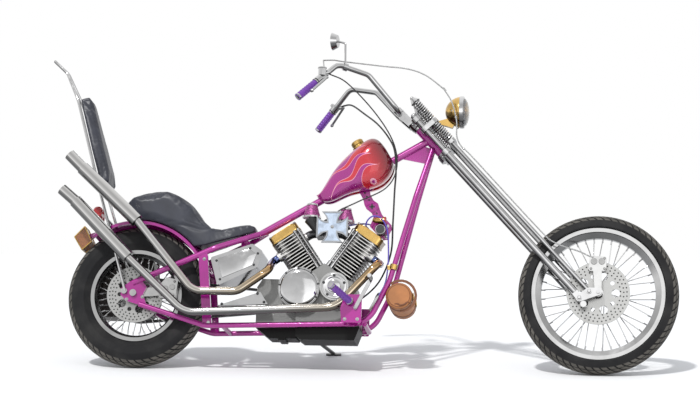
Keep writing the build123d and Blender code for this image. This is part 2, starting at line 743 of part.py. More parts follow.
def finned_cylinder(sign):
    """Barrel and head with square fins; ports for the exhaust and the intake."""
    with BuildPart() as body:
        with BuildSketch(cylinder_plane(sign, BARREL_FROM)):
            Circle(BARREL_R)
        extrude(amount=HEAD_TOP - BARREL_FROM)
        with BuildSketch(cylinder_plane(sign, HEAD_FROM)):
            RectangleRounded(HEAD_CORE, HEAD_CORE, 20)
        extrude(amount=HEAD_TOP - HEAD_FROM)
        for index in range(FIN_COUNT):
            with BuildSketch(cylinder_plane(sign, FIN_FROM + index * FIN_PITCH)):
                RectangleRounded(FIN_LENGTH, FIN_WIDTH, FIN_CORNER)
            extrude(amount=FIN_T)
        add(straight_rod(cylinder_point(sign, PORT_HEIGHT, -40), cylinder_point(sign, PORT_HEIGHT, -INTAKE_REACH), 20))
        add(straight_rod(cylinder_point(sign, EXHAUST_HEIGHT, 40, -PORT_Y), cylinder_point(sign, EXHAUST_HEIGHT, EXHAUST_REACH, -PORT_Y), 24))
    return body.part


with BuildPart() as front_cylinder:
    add(finned_cylinder(1))
keep(front_cylinder, "front_cylinder")

with BuildPart() as rear_cylinder:
    add(finned_cylinder(-1))
keep(rear_cylinder, "rear_cylinder")

with BuildPart() as rocker_covers:
    for sign in (1, -1):
        with BuildSketch(cylinder_plane(sign, HEAD_TOP)):
            RectangleRounded(COVER_LENGTH, COVER_WIDTH, 24)
        extrude(amount=COVER_H)
keep(rocker_covers, "rocker_covers")

with BuildPart() as engine_covers:
    add(side_disc(*GEAR_COVER, GEAR_COVER_R, -COVER_FACE, -CASE_HALF_W))
    add(side_disc(*CLUTCH_COVER, CLUTCH_COVER_R, -COVER_FACE + 8, -CASE_HALF_W))
keep(engine_covers, "engine_covers")


def belt_outline(y, start, start_r, end, end_r):
    """Two arcs joined by their outer tangents, as a face at a given Y."""
    run = Vector(end[0] - start[0], end[1] - start[1])
    heading = degrees(atan2(run.Y, run.X))
    spread = degrees(acos((start_r - end_r) / run.length))

    def on(centre, radius, angle):
        return (centre[0] + radius * cos(radians(angle)), centre[1] + radius * sin(radians(angle)))

    with BuildSketch(side_plane(y)) as face:
        with BuildLine():
            ThreePointArc(on(start, start_r, heading + spread), on(start, start_r, heading + 180), on(start, start_r, heading - spread))
            Line(on(start, start_r, heading - spread), on(end, end_r, heading - spread))
            ThreePointArc(on(end, end_r, heading - spread), on(end, end_r, heading), on(end, end_r, heading + spread))
            Line(on(end, end_r, heading + spread), on(start, start_r, heading + spread))
        make_face()
    return face.sketch


with BuildPart() as primary_cover:
    add(side_disc(*CRANK, 40, CASE_HALF_W, PRIMARY_IN))
    extrude(belt_outline(PRIMARY_FACE, PRIMARY_REAR, PRIMARY_REAR_R, CRANK, PRIMARY_FRONT_R), amount=PRIMARY_FACE - PRIMARY_IN)
keep(primary_cover, "primary_cover")

rear_sprocket_centre = (REAR_HUB.X, REAR_HUB.Z)

with BuildPart() as drive_chain:
    outer = belt_outline(CHAIN_Y + CHAIN_W / 2, rear_sprocket_centre, SPROCKET_R + CHAIN_H, FRONT_SPROCKET, FRONT_SPROCKET_R + CHAIN_H)
    extrude(outer, amount=CHAIN_W)
    inner = belt_outline(CHAIN_Y + CHAIN_W, rear_sprocket_centre, SPROCKET_R + RUN_GAP, FRONT_SPROCKET, FRONT_SPROCKET_R + RUN_GAP)
    extrude(inner, amount=2 * CHAIN_W, mode=Mode.SUBTRACT)
keep(drive_chain, "drive_chain")

with BuildPart() as gearbox_cover:
    add(side_slab([(401, 277), (603, 344), (640, 287)], -140, -GEARBOX_HALF_W))
keep(gearbox_cover, "gearbox_cover")

# Carburettor and its cross-shaped air cleaner
intake_front = cylinder_point(1, PORT_HEIGHT, -INTAKE_REACH)
intake_rear = cylinder_point(-1, PORT_HEIGHT, -INTAKE_REACH)
manifold_bends = [intake_front, cylinder_point(1, PORT_HEIGHT, -INTAKE_REACH - 25), cylinder_point(-1, PORT_HEIGHT, -INTAKE_REACH - 25), intake_rear]
carb_z = manifold_bends[1].Z

with BuildPart() as carburettor:
    with BuildSketch(Plane.XY.offset(carb_z - 34)):
        with Locations((CRANK[0], -67)):
            Rectangle(84, 102)
    extrude(amount=68)
    add(bent_tube(manifold_bends, 20, 60))
keep(carburettor, "carburettor")

with BuildPart() as air_cleaner:
    with BuildSketch(side_plane(-CROSS_FACE + CROSS_T)):
        with Locations(CROSS_CENTRE):
            Rectangle(CROSS_SIZE, CROSS_SIZE * 0.42)
            Rectangle(CROSS_SIZE * 0.42, CROSS_SIZE)
    extrude(amount=CROSS_T)
    add(side_disc(CRANK[0] + 20, carb_z, 38, -CROSS_FACE + CROSS_T, -118))
keep(air_cleaner, "air_cleaner")

# Exhausts
front_port = cylinder_point(1, EXHAUST_HEIGHT, EXHAUST_REACH, -PORT_Y)
rear_port = cylinder_point(-1, EXHAUST_HEIGHT, EXHAUST_REACH, -PORT_Y)


def muffler(start, end, tip):
    """A straight muffler with a stepped, open tip."""
    start = Vector(*start)
    end = Vector(*end)
    tip = Vector(*tip)
    with BuildPart() as body:
        add(straight_rod(start, end, MUFFLER_R))
        add(straight_rod(end, tip, TIP_R))
        add(straight_rod(end, tip + (tip - end), TIP_BORE_R), mode=Mode.SUBTRACT)
    return body.part


with BuildPart() as exhaust_front:
    elbow = cylinder_point(1, EXHAUST_HEIGHT, EXHAUST_REACH + 45, -PORT_Y)
    route = [front_port, elbow, (elbow.X, -PIPE_Y, elbow.Z - 18), (962, -PIPE_Y, 272), (255, -PIPE_Y, 240), (-20, -MUFFLER_Y, 493)]
    add(bent_tube(route, HEADER_R, [40, 50, 120, 120]))
    add(muffler((-20, -MUFFLER_Y, 493), (-286, -MUFFLER_Y, 759), (-354, -MUFFLER_Y, 816)))
keep(exhaust_front, "exhaust_front")

with BuildPart() as exhaust_rear:
    elbow = cylinder_point(-1, EXHAUST_HEIGHT, EXHAUST_REACH + 34, -PORT_Y)
    route = [rear_port, elbow, (640, -PIPE_Y, 440), (500, -PIPE_Y, 340), (290, -PIPE_Y, 340), (12, -MUFFLER_Y, 668)]
    add(bent_tube(route, HEADER_R, [32, 55, 90, 90]))
    add(muffler((12, -MUFFLER_Y, 668), (-261, -MUFFLER_Y, 919), (-328, -MUFFLER_Y, 984)))
keep(exhaust_rear, "exhaust_rear")

# Saddle-side pieces, lamps and small fittings of the frame
with BuildPart() as battery_box:
    add(side_slab(BOX_OUTLINE, -146, 50, corner=12))
keep(battery_box, "battery_box")

with BuildPart() as tool_bag:
    add(side_disc(1247, 333, 60, -150, 150))
    fillet(tool_bag.edges(), 10)
keep(tool_bag, "tool_bag")

with BuildPart() as saddlebag:
    with BuildSketch(side_plane(255)) as face:
        with BuildLine():
            Polyline((-245, 300), (-245, 547), (40, 547), (60, 300), (20, 262), (-200, 262), close=True)
        make_face()
        fillet(face.vertices(), 24)
    extrude(amount=255 - 131.5)
keep(saddlebag, "saddlebag")


with BuildPart() as tail_lamp:
    add(side_slab([(-235, 731), (-209, 757), (-183, 731), (-209, 705)], -45, 45))
    add(straight_rod(polar(LAMP_FOOT_R, LAMP_ANGLE), polar(LAMP_R - 20, LAMP_ANGLE), 6))
keep(tail_lamp, "tail_lamp")

with BuildPart() as marker_lamp:
    add(side_slab([(-313, 616), (-267, 666), (-230, 595), (-274, 555)], -42, 42))
keep(marker_lamp, "marker_lamp")

with BuildPart() as coil_bracket:
    add(side_slab([(1010, 900), (1070, 935), (1165, 725), (1205, 690), (1190, 655), (1120, 690)], -4, 4))
    add(straight_rod(backbone_low, backbone_high, BACKBONE_R), mode=Mode.SUBTRACT)
keep(coil_bracket, "coil_bracket")

with BuildPart() as bullet_lamp:
    add(straight_rod((1142, -4, 705), (1142, -62, 705), 26, 14))
keep(bullet_lamp, "bullet_lamp")

# Rear brake caliper on an arm round the axle spacer
with BuildPart() as rear_caliper:
    add(side_slab([(118, 318), (196, 316), (206, 404), (150, 416), (112, 372)], -REAR_HUB_RIGHT - 24, -REAR_HUB_RIGHT + 14, corner=8))
    add(
        side_disc(REAR_HUB.X, REAR_HUB.Z, REAR_DISC_R + 3, rear_disc_face - 4, rear_disc_face + DISC_T + 4),
        mode=Mode.SUBTRACT,
    )
    add(side_slab([(0, 319), (150, 330), (150, 372), (0, 357)], -99, -92))
    add(side_disc(REAR_HUB.X, REAR_HUB.Z, 24, -99, -92))
    add(side_disc(REAR_HUB.X, REAR_HUB.Z, 17 + BORE_FIT, -110, -80), mode=Mode.SUBTRACT)
keep(rear_caliper, "rear_caliper")

# Forward foot controls
with BuildPart() as control_plates:
    for side in (-1, 1):
        add(side_slab([(990, 196), (1082, 196), (1083, 327), (1004, 327), (984, 262)], side * 192, side * 200, corner=8))
        for x in (1012, 1064):
            add(side_disc(x, 206, 9, side * 136, side * 193))
keep(control_plates, "control_plates")

with BuildPart() as foot_pegs:
    for side in (-1, 1):
        add(straight_rod((1030, side * 214, 291), (951, side * 330, 346), 16))
        add(straight_rod((1030, side * 200, 291), (1030, side * 216, 291), 8))
keep(foot_pegs, "foot_pegs")

with BuildPart() as foot_levers:
    for side in (-1, 1):
        add(side_slab([(1046, 266), (1062, 262), (1130, 396), (1114, 404)], side * 200, side * 208))
        add(side_disc(1122, 400, 9, side * 200, side * 290))
keep(foot_levers, "foot_levers")

# Side stand
stand_plane = Plane(origin=stand_pivot, x_dir=leg_out, z_dir=stand_axis)

with BuildPart() as side_stand:
    with BuildSketch(stand_plane.offset(-8)):
        Circle(15)
        with Locations((16, 0)):
            Rectangle(32, 18)
    extrude(amount=16)
    add(straight_rod(stand_pivot + leg_out * 22, foot_top - leg_out * 2, STAND_R))
    foot_plane = Plane(origin=foot_top - GROUND_UP * FOOT_T, x_dir=(1, 0, 0), z_dir=GROUND_UP)
    with BuildSketch(foot_plane):
        RectangleRounded(FOOT_LENGTH, FOOT_WIDTH, 12)
    extrude(amount=FOOT_T)
    with BuildSketch(stand_plane.offset(-10)):
        Circle(8 + BORE_FIT)
    extrude(amount=20, mode=Mode.SUBTRACT)
keep(side_stand, "side_stand")

# Springer fork
with BuildPart() as fork_rear_legs:
    for side in (-1, 1):
        add(straight_rod(fork_point(REAR_LEG_FORWARD, side * LEG_Y, LEG_FOOT), fork_point(REAR_LEG_FORWARD, side * LEG_Y, LOWER_TREE[0]), REAR_LEG_R))
        add(straight_rod(fork_point(REAR_LEG_FORWARD, side * LEG_Y, LOWER_TREE[0] - 5), fork_point(REAR_LEG_FORWARD, side * LEG_Y, TOP_CLAMP[1] + 6), REAR_LEG_TOP_R))
        pivot = fork_point(REAR_PIVOT[0], 0, REAR_PIVOT[1])
        faces = (side * LEG_Y - EYE_T / 2, side * LEG_Y + EYE_T / 2)
        add(side_disc(pivot.X, pivot.Z, EYE_R, *faces))
        blade = [fork_point(n, 0, s) for n, s in ((REAR_PIVOT[0] - 14, 40), (REAR_PIVOT[0] + 15, 40), (REAR_LEG_FORWARD + 15, LEG_FOOT + 25), (REAR_LEG_FORWARD - 15, LEG_FOOT + 25))]
        add(side_slab([(p.X, p.Z) for p in blade], *faces))
        add(side_disc(pivot.X, pivot.Z, PIN_R + BORE_FIT, *faces), mode=Mode.SUBTRACT)
keep(fork_rear_legs, "fork_rear_legs", steered=True)

with BuildPart() as fork_front_legs:
    for side in (-1, 1):
        add(straight_rod(fork_point(FRONT_LEG_FORWARD, side * LEG_Y, FRONT_PIVOT[1] + 6), fork_point(FRONT_LEG_FORWARD, side * LEG_Y, BRIDGE[0] + 2), FRONT_LEG_R))
        add(straight_rod(fork_point(FRONT_LEG_FORWARD, side * LEG_Y, BRIDGE[0]), fork_point(FRONT_LEG_FORWARD, side * LEG_Y, TOP_SPRING_END + 8), SPRING_ROD_R))
        add(straight_rod(fork_point(FRONT_LEG_FORWARD, side * LEG_Y, TOP_SPRING_END), fork_point(FRONT_LEG_FORWARD, side * LEG_Y, TOP_SPRING_END + 24), SPRING_R + 3, 10))
        pivot = fork_point(FRONT_PIVOT[0], 0, FRONT_PIVOT[1])
        faces = (side * LEG_Y - EYE_T / 2, side * LEG_Y + EYE_T / 2)
        add(side_disc(pivot.X, pivot.Z, EYE_R - 3, *faces))
        add(side_disc(pivot.X, pivot.Z, PIN_R + BORE_FIT, side * LEG_Y - 20, side * LEG_Y + 20), mode=Mode.SUBTRACT)
    with BuildSketch(fork_plane(BRIDGE[0])):
        with Locations((FRONT_LEG_FORWARD, 0)):
            RectangleRounded(40, 2 * LEG_Y + 52, 12)
    extrude(amount=BRIDGE[1] - BRIDGE[0])
keep(fork_front_legs, "fork_front_legs", steered=True)


def coil_sleeve(side, start, end, coils):
    """A close-wound spring round a rod, as a turned row of wire rings."""
    pitch = (end - start) / coils
    axis_point = fork_point(FRONT_LEG_FORWARD, side * LEG_Y, start)
    plane = Plane(origin=axis_point, x_dir=(0, 1, 0), z_dir=FORWARD.cross(Vector(0, 1, 0)).cross(Vector(0, 1, 0)))
    outline = [(SPRING_ROD_R + 0.5, 0)]
    for index in range(coils):
        outline += [(SPRING_R - 4, index * pitch), (SPRING_R, index * pitch + pitch * 0.3), (SPRING_R, index * pitch + pitch * 0.7)]
    outline += [(SPRING_R - 4, coils * pitch), (SPRING_ROD_R + 0.5, coils * pitch)]
    points = [axis_point + Vector(0, r, 0) + ALONG * h for r, h in outline]
    with BuildPart() as coil:
        with BuildLine() as wire:
            Polyline(*points, close=True)
        face = Face(Wire(wire.edges()))
        revolve(face, axis=Axis(axis_point, ALONG))
    return coil.part


with BuildPart() as fork_springs:
    for side in (-1, 1):
        add(coil_sleeve(side, BRIDGE[1] + 0.5, PERCH[0] - 0.5, LOWER_COILS))
        add(coil_sleeve(side, PERCH[1] + 0.5, TOP_SPRING_END - 0.5, UPPER_COILS))
keep(fork_springs, "fork_springs", steered=True)

with BuildPart() as fork_trees:
    for low, high in (LOWER_TREE, TOP_CLAMP):
        with BuildSketch(fork_plane(low)):
            Circle(34)
            with Locations((REAR_LEG_FORWARD, 0)):
                RectangleRounded(48, 2 * LEG_Y + 44, 20)
        extrude(amount=high - low)
    add(straight_rod(fork_point(0, 0, LOWER_TREE[1] - 5), fork_point(0, 0, TOP_CLAMP[0] + 5), STEM_R))
    for side in (-1, 1):
        add(straight_rod(fork_point(REAR_LEG_FORWARD, side * LEG_Y, 900), fork_point(REAR_LEG_FORWARD, side * LEG_Y, 1260), REAR_LEG_TOP_R + BORE_FIT), mode=Mode.SUBTRACT)
keep(fork_trees, "fork_trees", steered=True)

with BuildPart() as spring_perch:
    with BuildSketch(fork_plane(PERCH[0])):
        with Locations(((REAR_LEG_FORWARD + FRONT_LEG_FORWARD) / 2, 0)):
            RectangleRounded(FRONT_LEG_FORWARD - REAR_LEG_FORWARD + 44, 2 * LEG_Y + 44, 20)
        Circle(NECK_R + 4, mode=Mode.SUBTRACT)
        for side in (-1, 1):
            with Locations((REAR_LEG_FORWARD, side * LEG_Y)):
                Circle(REAR_LEG_TOP_R + BORE_FIT, mode=Mode.SUBTRACT)
            with Locations((FRONT_LEG_FORWARD, side * LEG_Y)):
                Circle(SPRING_ROD_R + BORE_FIT, mode=Mode.SUBTRACT)
    extrude(amount=PERCH[1] - PERCH[0])
keep(spring_perch, "spring_perch", steered=True)

rocker_in = LEG_Y + EYE_T / 2 + 2.3
rocker_out = rocker_in + ROCKER_T
pivots = [fork_point(*REAR_PIVOT[:1], 0, REAR_PIVOT[1]), fork_point(FRONT_PIVOT[0], 0, FRONT_PIVOT[1]), FRONT_HUB]

with BuildPart() as fork_rockers:
    for side in (-1, 1):
        for start, end in ((pivots[0], pivots[1]), (pivots[1], pivots[2]), (pivots[0], pivots[2])):
            extrude(belt_outline(side * rocker_in if side < 0 else rocker_out, (start.X, start.Z), ROCKER_R, (end.X, end.Z), ROCKER_R - 0.01), amount=ROCKER_T)
        for pivot in pivots[:2]:
            add(side_disc(pivot.X, pivot.Z, PIN_R, side * (LEG_Y - EYE_T / 2 - 2), side * (rocker_out + 6)))
        add(side_disc(FRONT_HUB.X, FRONT_HUB.Z, 15, side * (HUB_HALF + RUN_GAP), side * rocker_out))
    add(side_disc(FRONT_HUB.X, FRONT_HUB.Z, AXLE_R, -rocker_out - 12, rocker_out + 12))
keep(fork_rockers, "fork_rockers", steered=True)

with BuildPart() as front_caliper:
    top = fork_point(178, 0, 101)
    add(side_slab([(top.X - 42, top.Z - 36), (top.X + 38, top.Z - 36), (top.X + 44, top.Z + 30), (top.X - 36, top.Z + 34)], -94, -36, corner=10))
    add(side_disc(FRONT_HUB.X, FRONT_HUB.Z, FRONT_DISC_R + 3, front_disc_face - 4, front_disc_face + DISC_T + 4), mode=Mode.SUBTRACT)
    add(side_slab([(FRONT_HUB.X - 16, FRONT_HUB.Z + 10), (FRONT_HUB.X + 16, FRONT_HUB.Z + 10), (top.X + 20, top.Z - 30), (top.X - 20, top.Z - 30)], -94, -86))
    add(side_disc(FRONT_HUB.X, FRONT_HUB.Z, 21, -94, -86))
    add(side_disc(FRONT_HUB.X, FRONT_HUB.Z, 15 + BORE_FIT, -97, -80), mode=Mode.SUBTRACT)
keep(front_caliper, "front_caliper", steered=True)

# Handlebar, risers, grips, levers, mirror and headlight
bar_route = [(BAR_CLAMP[0], 104, BAR_CLAMP[1]), (1083, 168, 1385), (945, 232, 1420), BAR_END]
bar_points = [(x, -y, z) for x, y, z in reversed(bar_route)] + bar_route
grip_dir = (Vector(*bar_route[2]) - Vector(*BAR_END)).normalized()

with BuildPart() as handlebar:
    add(bent_tube(bar_points, BAR_R, BAR_BEND_R))
keep(handlebar, "handlebar", steered=True)

with BuildPart() as risers:
    for side in (-1, 1):
        corners = [fork_point(n, 0, s) for n, s in ((-33, TOP_CLAMP[1]), (0, TOP_CLAMP[1]), (-4, 1285), (-44, 1285))]
        add(side_slab([(p.X, p.Z) for p in corners], side * RISER_Y - RISER_T / 2, side * RISER_Y + RISER_T / 2))
    add(side_disc(BAR_CLAMP[0], BAR_CLAMP[1], BAR_R + BORE_FIT, -90, 90), mode=Mode.SUBTRACT)
keep(risers, "risers", steered=True)


def mirrored(point, side):
    """A point of the left handlebar end, or its twin on the right."""
    return Vector(point.X, side * point.Y, point.Z)


with BuildPart() as grips:
    for side in (-1, 1):
        outer = mirrored(Vector(*BAR_END) - grip_dir * 5, side)
        inner = mirrored(Vector(*BAR_END) + grip_dir * GRIP_LENGTH, side)
        add(straight_rod(outer, inner, GRIP_R))
        add(straight_rod(mirrored(Vector(*BAR_END), side), inner + (inner - outer), BAR_R + BORE_FIT), mode=Mode.SUBTRACT)
keep(grips, "grips", steered=True)

with BuildPart() as hand_levers:
    for side in (-1, 1):
        near = mirrored(Vector(*BAR_END) + grip_dir * (GRIP_LENGTH + 6), side)
        far = mirrored(Vector(*BAR_END) + grip_dir * (GRIP_LENGTH + 32), side)
        reach = Vector(30, side * 10, 8)
        add(straight_rod(near, far, 20))
        add(straight_rod((near + far) / 2, (near + far) / 2 + reach * 1.4, 9))
        add(straight_rod((near + far) / 2 + reach * 1.4, mirrored(Vector(*BAR_END) + grip_dir * 10, side) + reach * 1.8, 6))
        add(straight_rod(near + (near - far), far + (far - near), BAR_R + BORE_FIT), mode=Mode.SUBTRACT)
    middle = mirrored(Vector(*BAR_END) + grip_dir * (GRIP_LENGTH + 19), 1)
    mirror_up = (Vector(0, 0, 1) - grip_dir * grip_dir.Z).normalized()
    add(straight_rod(middle + mirror_up * 17, middle + mirror_up * 30, 9))
    add(straight_rod(middle + mirror_up * 16, middle + mirror_up * 31, MIRROR_HOLE_R), mode=Mode.SUBTRACT)
keep(hand_levers, "hand_levers", steered=True)

with BuildPart() as mirror:
    bar_run = (Vector(*bar_points[1]) - Vector(*bar_points[2])).normalized()
    clamp = Vector(*bar_points[2]) + bar_run * 118
    add(straight_rod(clamp - bar_run * 10, clamp + bar_run * 10, 19))
    add(bent_tube([clamp, (975, -206, 1530), (935, -194, 1543)], 5, 15))
    add(straight_rod((937, -194, 1543), (911, -190, 1543), 30, 42))
    add(straight_rod(clamp - bar_run * 40, clamp + bar_run * 40, BAR_R + BORE_FIT), mode=Mode.SUBTRACT)
keep(mirror, "mirror", steered=True)

with BuildPart() as headlight:
    with BuildSketch(Plane(origin=(HEADLIGHT_BACK, 0, HEADLIGHT_Z), x_dir=(1, 0, 0), z_dir=(0, -1, 0))):
        with BuildLine():
            Polyline((0, 0), (HEADLIGHT_FRONT - HEADLIGHT_BACK, 0), (HEADLIGHT_RIM + 8 - HEADLIGHT_BACK, HEADLIGHT_R - 6), (HEADLIGHT_RIM + 8 - HEADLIGHT_BACK, HEADLIGHT_R), (HEADLIGHT_RIM - 8 - HEADLIGHT_BACK, HEADLIGHT_R))
            ThreePointArc((HEADLIGHT_RIM - 8 - HEADLIGHT_BACK, HEADLIGHT_R), (22, 50), (0, 0))
        make_face()
    revolve(axis=Axis((HEADLIGHT_BACK, 0, HEADLIGHT_Z), (1, 0, 0)))
    stem = [fork_point(FRONT_LEG_FORWARD + 22, 0, PERCH[0] + 2), fork_point(FRONT_LEG_FORWARD + 22, 0, PERCH[1] - 2)]
    add(side_slab([(stem[0].X, stem[0].Z), (1470, 1166), (1484, 1190), (1460, 1215), (stem[1].X, stem[1].Z)], -14, 14))
keep(headlight, "headlight", steered=True)

# Turn the steered pieces, lean the machine, and set the origin under its middle
os.makedirs("parts", exist_ok=True)
placed = []
for piece, label, steered in finished:
    if steered:
        piece = piece.rotate(STEM_AXIS, -STEER_TURN)
    placed.append((piece.rotate(Axis.X, -LEAN), label))
box = placed[0][0].bounding_box()
for piece, label in placed:
    box = box.add(piece.bounding_box())
shift = Vector(-(box.min.X + box.max.X) / 2, -(box.min.Y + box.max.Y) / 2, -box.min.Z)
for piece, label in placed:
    piece = piece.translate(shift)
    piece.label = label
    export_step(piece, f"parts/{label}.step")


def placed_point(point, steered=False):
    """Where a point of the upright machine ends up."""
    moved = Vector(*point)
    if steered:
        moved = (moved - STEM_FOOT).rotate(Axis((0, 0, 0), ALONG), -STEER_TURN) + STEM_FOOT
    return moved.rotate(Axis.X, -LEAN) + shift


print("shift", shift, "size", box.size)
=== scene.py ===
"""Looks of the parked chopper: materials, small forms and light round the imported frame.

Places are written as in the CAD source: millimetres on the upright machine, X forward,
Y to its left, Z up. PLACES holds the matrix that turns them into the leaned machine.
"""

import json
from math import acos, cos, pi, radians, sin

import bmesh
import bpy
from mathutils import Matrix, Vector


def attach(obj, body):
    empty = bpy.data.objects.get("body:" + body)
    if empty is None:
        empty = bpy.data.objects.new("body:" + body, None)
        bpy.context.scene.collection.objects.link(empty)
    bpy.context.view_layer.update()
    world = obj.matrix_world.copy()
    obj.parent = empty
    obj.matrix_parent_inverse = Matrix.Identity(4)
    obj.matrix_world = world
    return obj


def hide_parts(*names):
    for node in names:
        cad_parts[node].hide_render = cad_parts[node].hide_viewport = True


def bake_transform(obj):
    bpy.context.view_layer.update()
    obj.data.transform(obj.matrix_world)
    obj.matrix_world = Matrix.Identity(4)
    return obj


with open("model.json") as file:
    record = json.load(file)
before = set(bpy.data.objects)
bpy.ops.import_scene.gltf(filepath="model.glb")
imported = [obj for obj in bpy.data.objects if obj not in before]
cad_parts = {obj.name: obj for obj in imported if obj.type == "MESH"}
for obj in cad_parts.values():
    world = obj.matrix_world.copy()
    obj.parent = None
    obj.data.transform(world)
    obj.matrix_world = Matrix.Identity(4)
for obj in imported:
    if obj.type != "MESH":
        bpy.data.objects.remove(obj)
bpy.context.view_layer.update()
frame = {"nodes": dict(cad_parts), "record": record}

scene = bpy.context.scene
SLOT_OF = {s["node"]: s["material_slot"] for s in frame["record"]["subparts"]}
MM = 0.001

# The machine's stance, and the main points of the CAD source
LEAN = radians(-16.0)
STEER = radians(-2.0)
SHIFT = Vector((-1.02643, -0.233125, 0.0))
FORWARD = Vector((0.73728, 0.0, 0.67559))
ALONG = Vector((-0.67559, 0.0, 0.73728))
STEM_FOOT = Vector((2093.646, 0.0, 312.97))
FRONT_HUB = Vector((2160.0, 0.0, 373.77))
REAR_HUB = Vector((0.0, 0.0, 335.67))
LEANED = Matrix.Translation(SHIFT) @ Matrix.Rotation(LEAN, 4, "X") @ Matrix.Scale(MM, 4)
TURNED = Matrix.Translation(STEM_FOOT) @ Matrix.Rotation(STEER, 4, ALONG) @ Matrix.Translation(-STEM_FOOT)
STEERED = LEANED @ TURNED
PLACES = {
    "chassis": LEANED,
    "rear_wheel_set": LEANED,
    "stand": LEANED,
    "steering": STEERED,
    "front_wheel_set": STEERED,
}
AXIS_X = Vector((1, 0, 0))
AXIS_Y = Vector((0, 1, 0))
AXIS_Z = Vector((0, 0, 1))
RIGHT = Vector((0, -1, 0))
ON_RIGHT = (-1,)
TANK_DIR = Vector((0.8625, 0.0, 0.5060)).normalized()
TANK_UP = Vector((-0.5060, 0.0, 0.8625)).normalized()
TANK_ORIGIN = Vector((560.0, 0.0, 636.0)) + 336.0 * TANK_DIR
CRANK = Vector((891.0, 0.0, 349.0))
TILT = radians(34.5)
HEAD_TOP = 330.0


def fork_point(forward, y, along):
    """A point forward of the steering axis, to the left of it and along it."""
    return STEM_FOOT + forward * FORWARD + along * ALONG + Vector((0, y, 0))


def cylinder_axes(sign):
    """The axis of a cylinder and its outward direction; +1 is the front one."""
    axis = Vector((sign * sin(TILT), 0, cos(TILT)))
    outward = Vector((sign * cos(TILT), 0, -sin(TILT)))
    return axis, outward


def cylinder_point(sign, height, out, y=0.0):
    """A point up a cylinder's axis, outward from the V and across."""
    axis, outward = cylinder_axes(sign)
    return CRANK + height * axis + out * outward + Vector((0, y, 0))


def polar(angle):
    """The direction at an angle in the side view, from forward to up."""
    return Vector((cos(angle), 0, sin(angle)))


def rotated(direction, body="chassis"):
    """A direction of the upright machine as it lies in the shared frame."""
    return (PLACES[body].to_3x3() @ Vector(direction)).normalized()


def placed(name, data):
    """A new object in the scene."""
    obj = bpy.data.objects.new(name, data)
    scene.collection.objects.link(obj)
    return obj


# ---- materials
LOOKS = {}


class Look:
    """A material, kept in LOOKS, and the small helpers that build its node tree."""

    def __init__(self, name):
        LOOKS[name] = self
        self.mat = bpy.data.materials.new(name)
        self.mat.use_nodes = True
        self.tree = self.mat.node_tree
        self.shader = self.tree.nodes["Principled BSDF"]
        self.place = self.tree.nodes.new("ShaderNodeTexCoord").outputs["Object"]

    def feed(self, socket, value):
        if isinstance(value, bpy.types.NodeSocket):
            self.tree.links.new(value, socket)
        elif isinstance(value, (tuple, list)) and len(value) == 3 and socket.type == "RGBA":
            socket.default_value = (*value, 1.0)
        else:
            socket.default_value = value

    def add(self, kind, *inputs, out=0, **named):
        """A node; names that begin with p_ are its properties, the others its inputs."""
        node = self.tree.nodes.new(kind)
        for key, value in named.items():
            if key.startswith("p_"):
                setattr(node, key[2:], value)
        for key, value in named.items():
            if not key.startswith("p_"):
                self.feed(node.inputs[key.replace("_", " ")], value)
        for index, value in enumerate(inputs):
            self.feed(node.inputs[index], value)
        return node.outputs[out]

    def math(self, operation, a, b=0.0, c=0.5, clamp=False):
        return self.add("ShaderNodeMath", a, b, c, p_operation=operation, p_use_clamp=clamp)

    def times(self, a, b):
        return self.math("MULTIPLY", a, b)

    def plus(self, a, b):
        return self.math("ADD", a, b)

    def minus(self, a, b):
        return self.math("SUBTRACT", a, b)

    def dot(self, vector, direction):
        inputs = (vector, tuple(direction))
        return self.add("ShaderNodeVectorMath", *inputs, p_operation="DOT_PRODUCT", out="Value")

    def length(self, vector):
        return self.add("ShaderNodeVectorMath", vector, p_operation="LENGTH", out="Value")

    def away(self, point):
        """The object's coordinates measured from a point of the shared frame."""
        return self.add("ShaderNodeVectorMath", self.place, tuple(point), p_operation="SUBTRACT")

    def noise(self, scale, detail=3.0):
        return self.add("ShaderNodeTexNoise", Vector=self.place, Scale=scale, Detail=detail)

    def cells(self, scale):
        return self.add("ShaderNodeTexVoronoi", Vector=self.place, Scale=scale, out="Distance")

    def ramp(self, fac, *stops):
        """A colour ramp from (position, colour) stops; a number is a grey."""
        node = self.tree.nodes.new("ShaderNodeValToRGB")
        elements = node.color_ramp.elements
        while len(elements) < len(stops):
            elements.new(1.0)
        for element, (position, colour) in zip(elements, stops):
            element.position = position
            element.color = (colour, colour, colour, 1) if isinstance(colour, float) else (*colour, 1)
        self.feed(node.inputs[0], fac)
        return node.outputs[0]

    def mix(self, fac, a, b, blend="MIX"):
        node = self.tree.nodes.new("ShaderNodeMix")
        node.data_type = "RGBA"
        node.blend_type = blend
        # Inputs 6 and 7 and output 2 are the colour ones
        self.feed(node.inputs[0], fac)
        self.feed(node.inputs[6], a)
        self.feed(node.inputs[7], b)
        return node.outputs[2]

    def product(self, a, b):
        """Two colours multiplied."""
        return self.mix(1.0, a, b, "MULTIPLY")

    def bump(self, height, strength, distance):
        return self.add("ShaderNodeBump", Height=height, Strength=strength, Distance=distance)

    def set(self, **values):
        for key, value in values.items():
            self.feed(self.shader.inputs[key.replace("_", " ")], value)


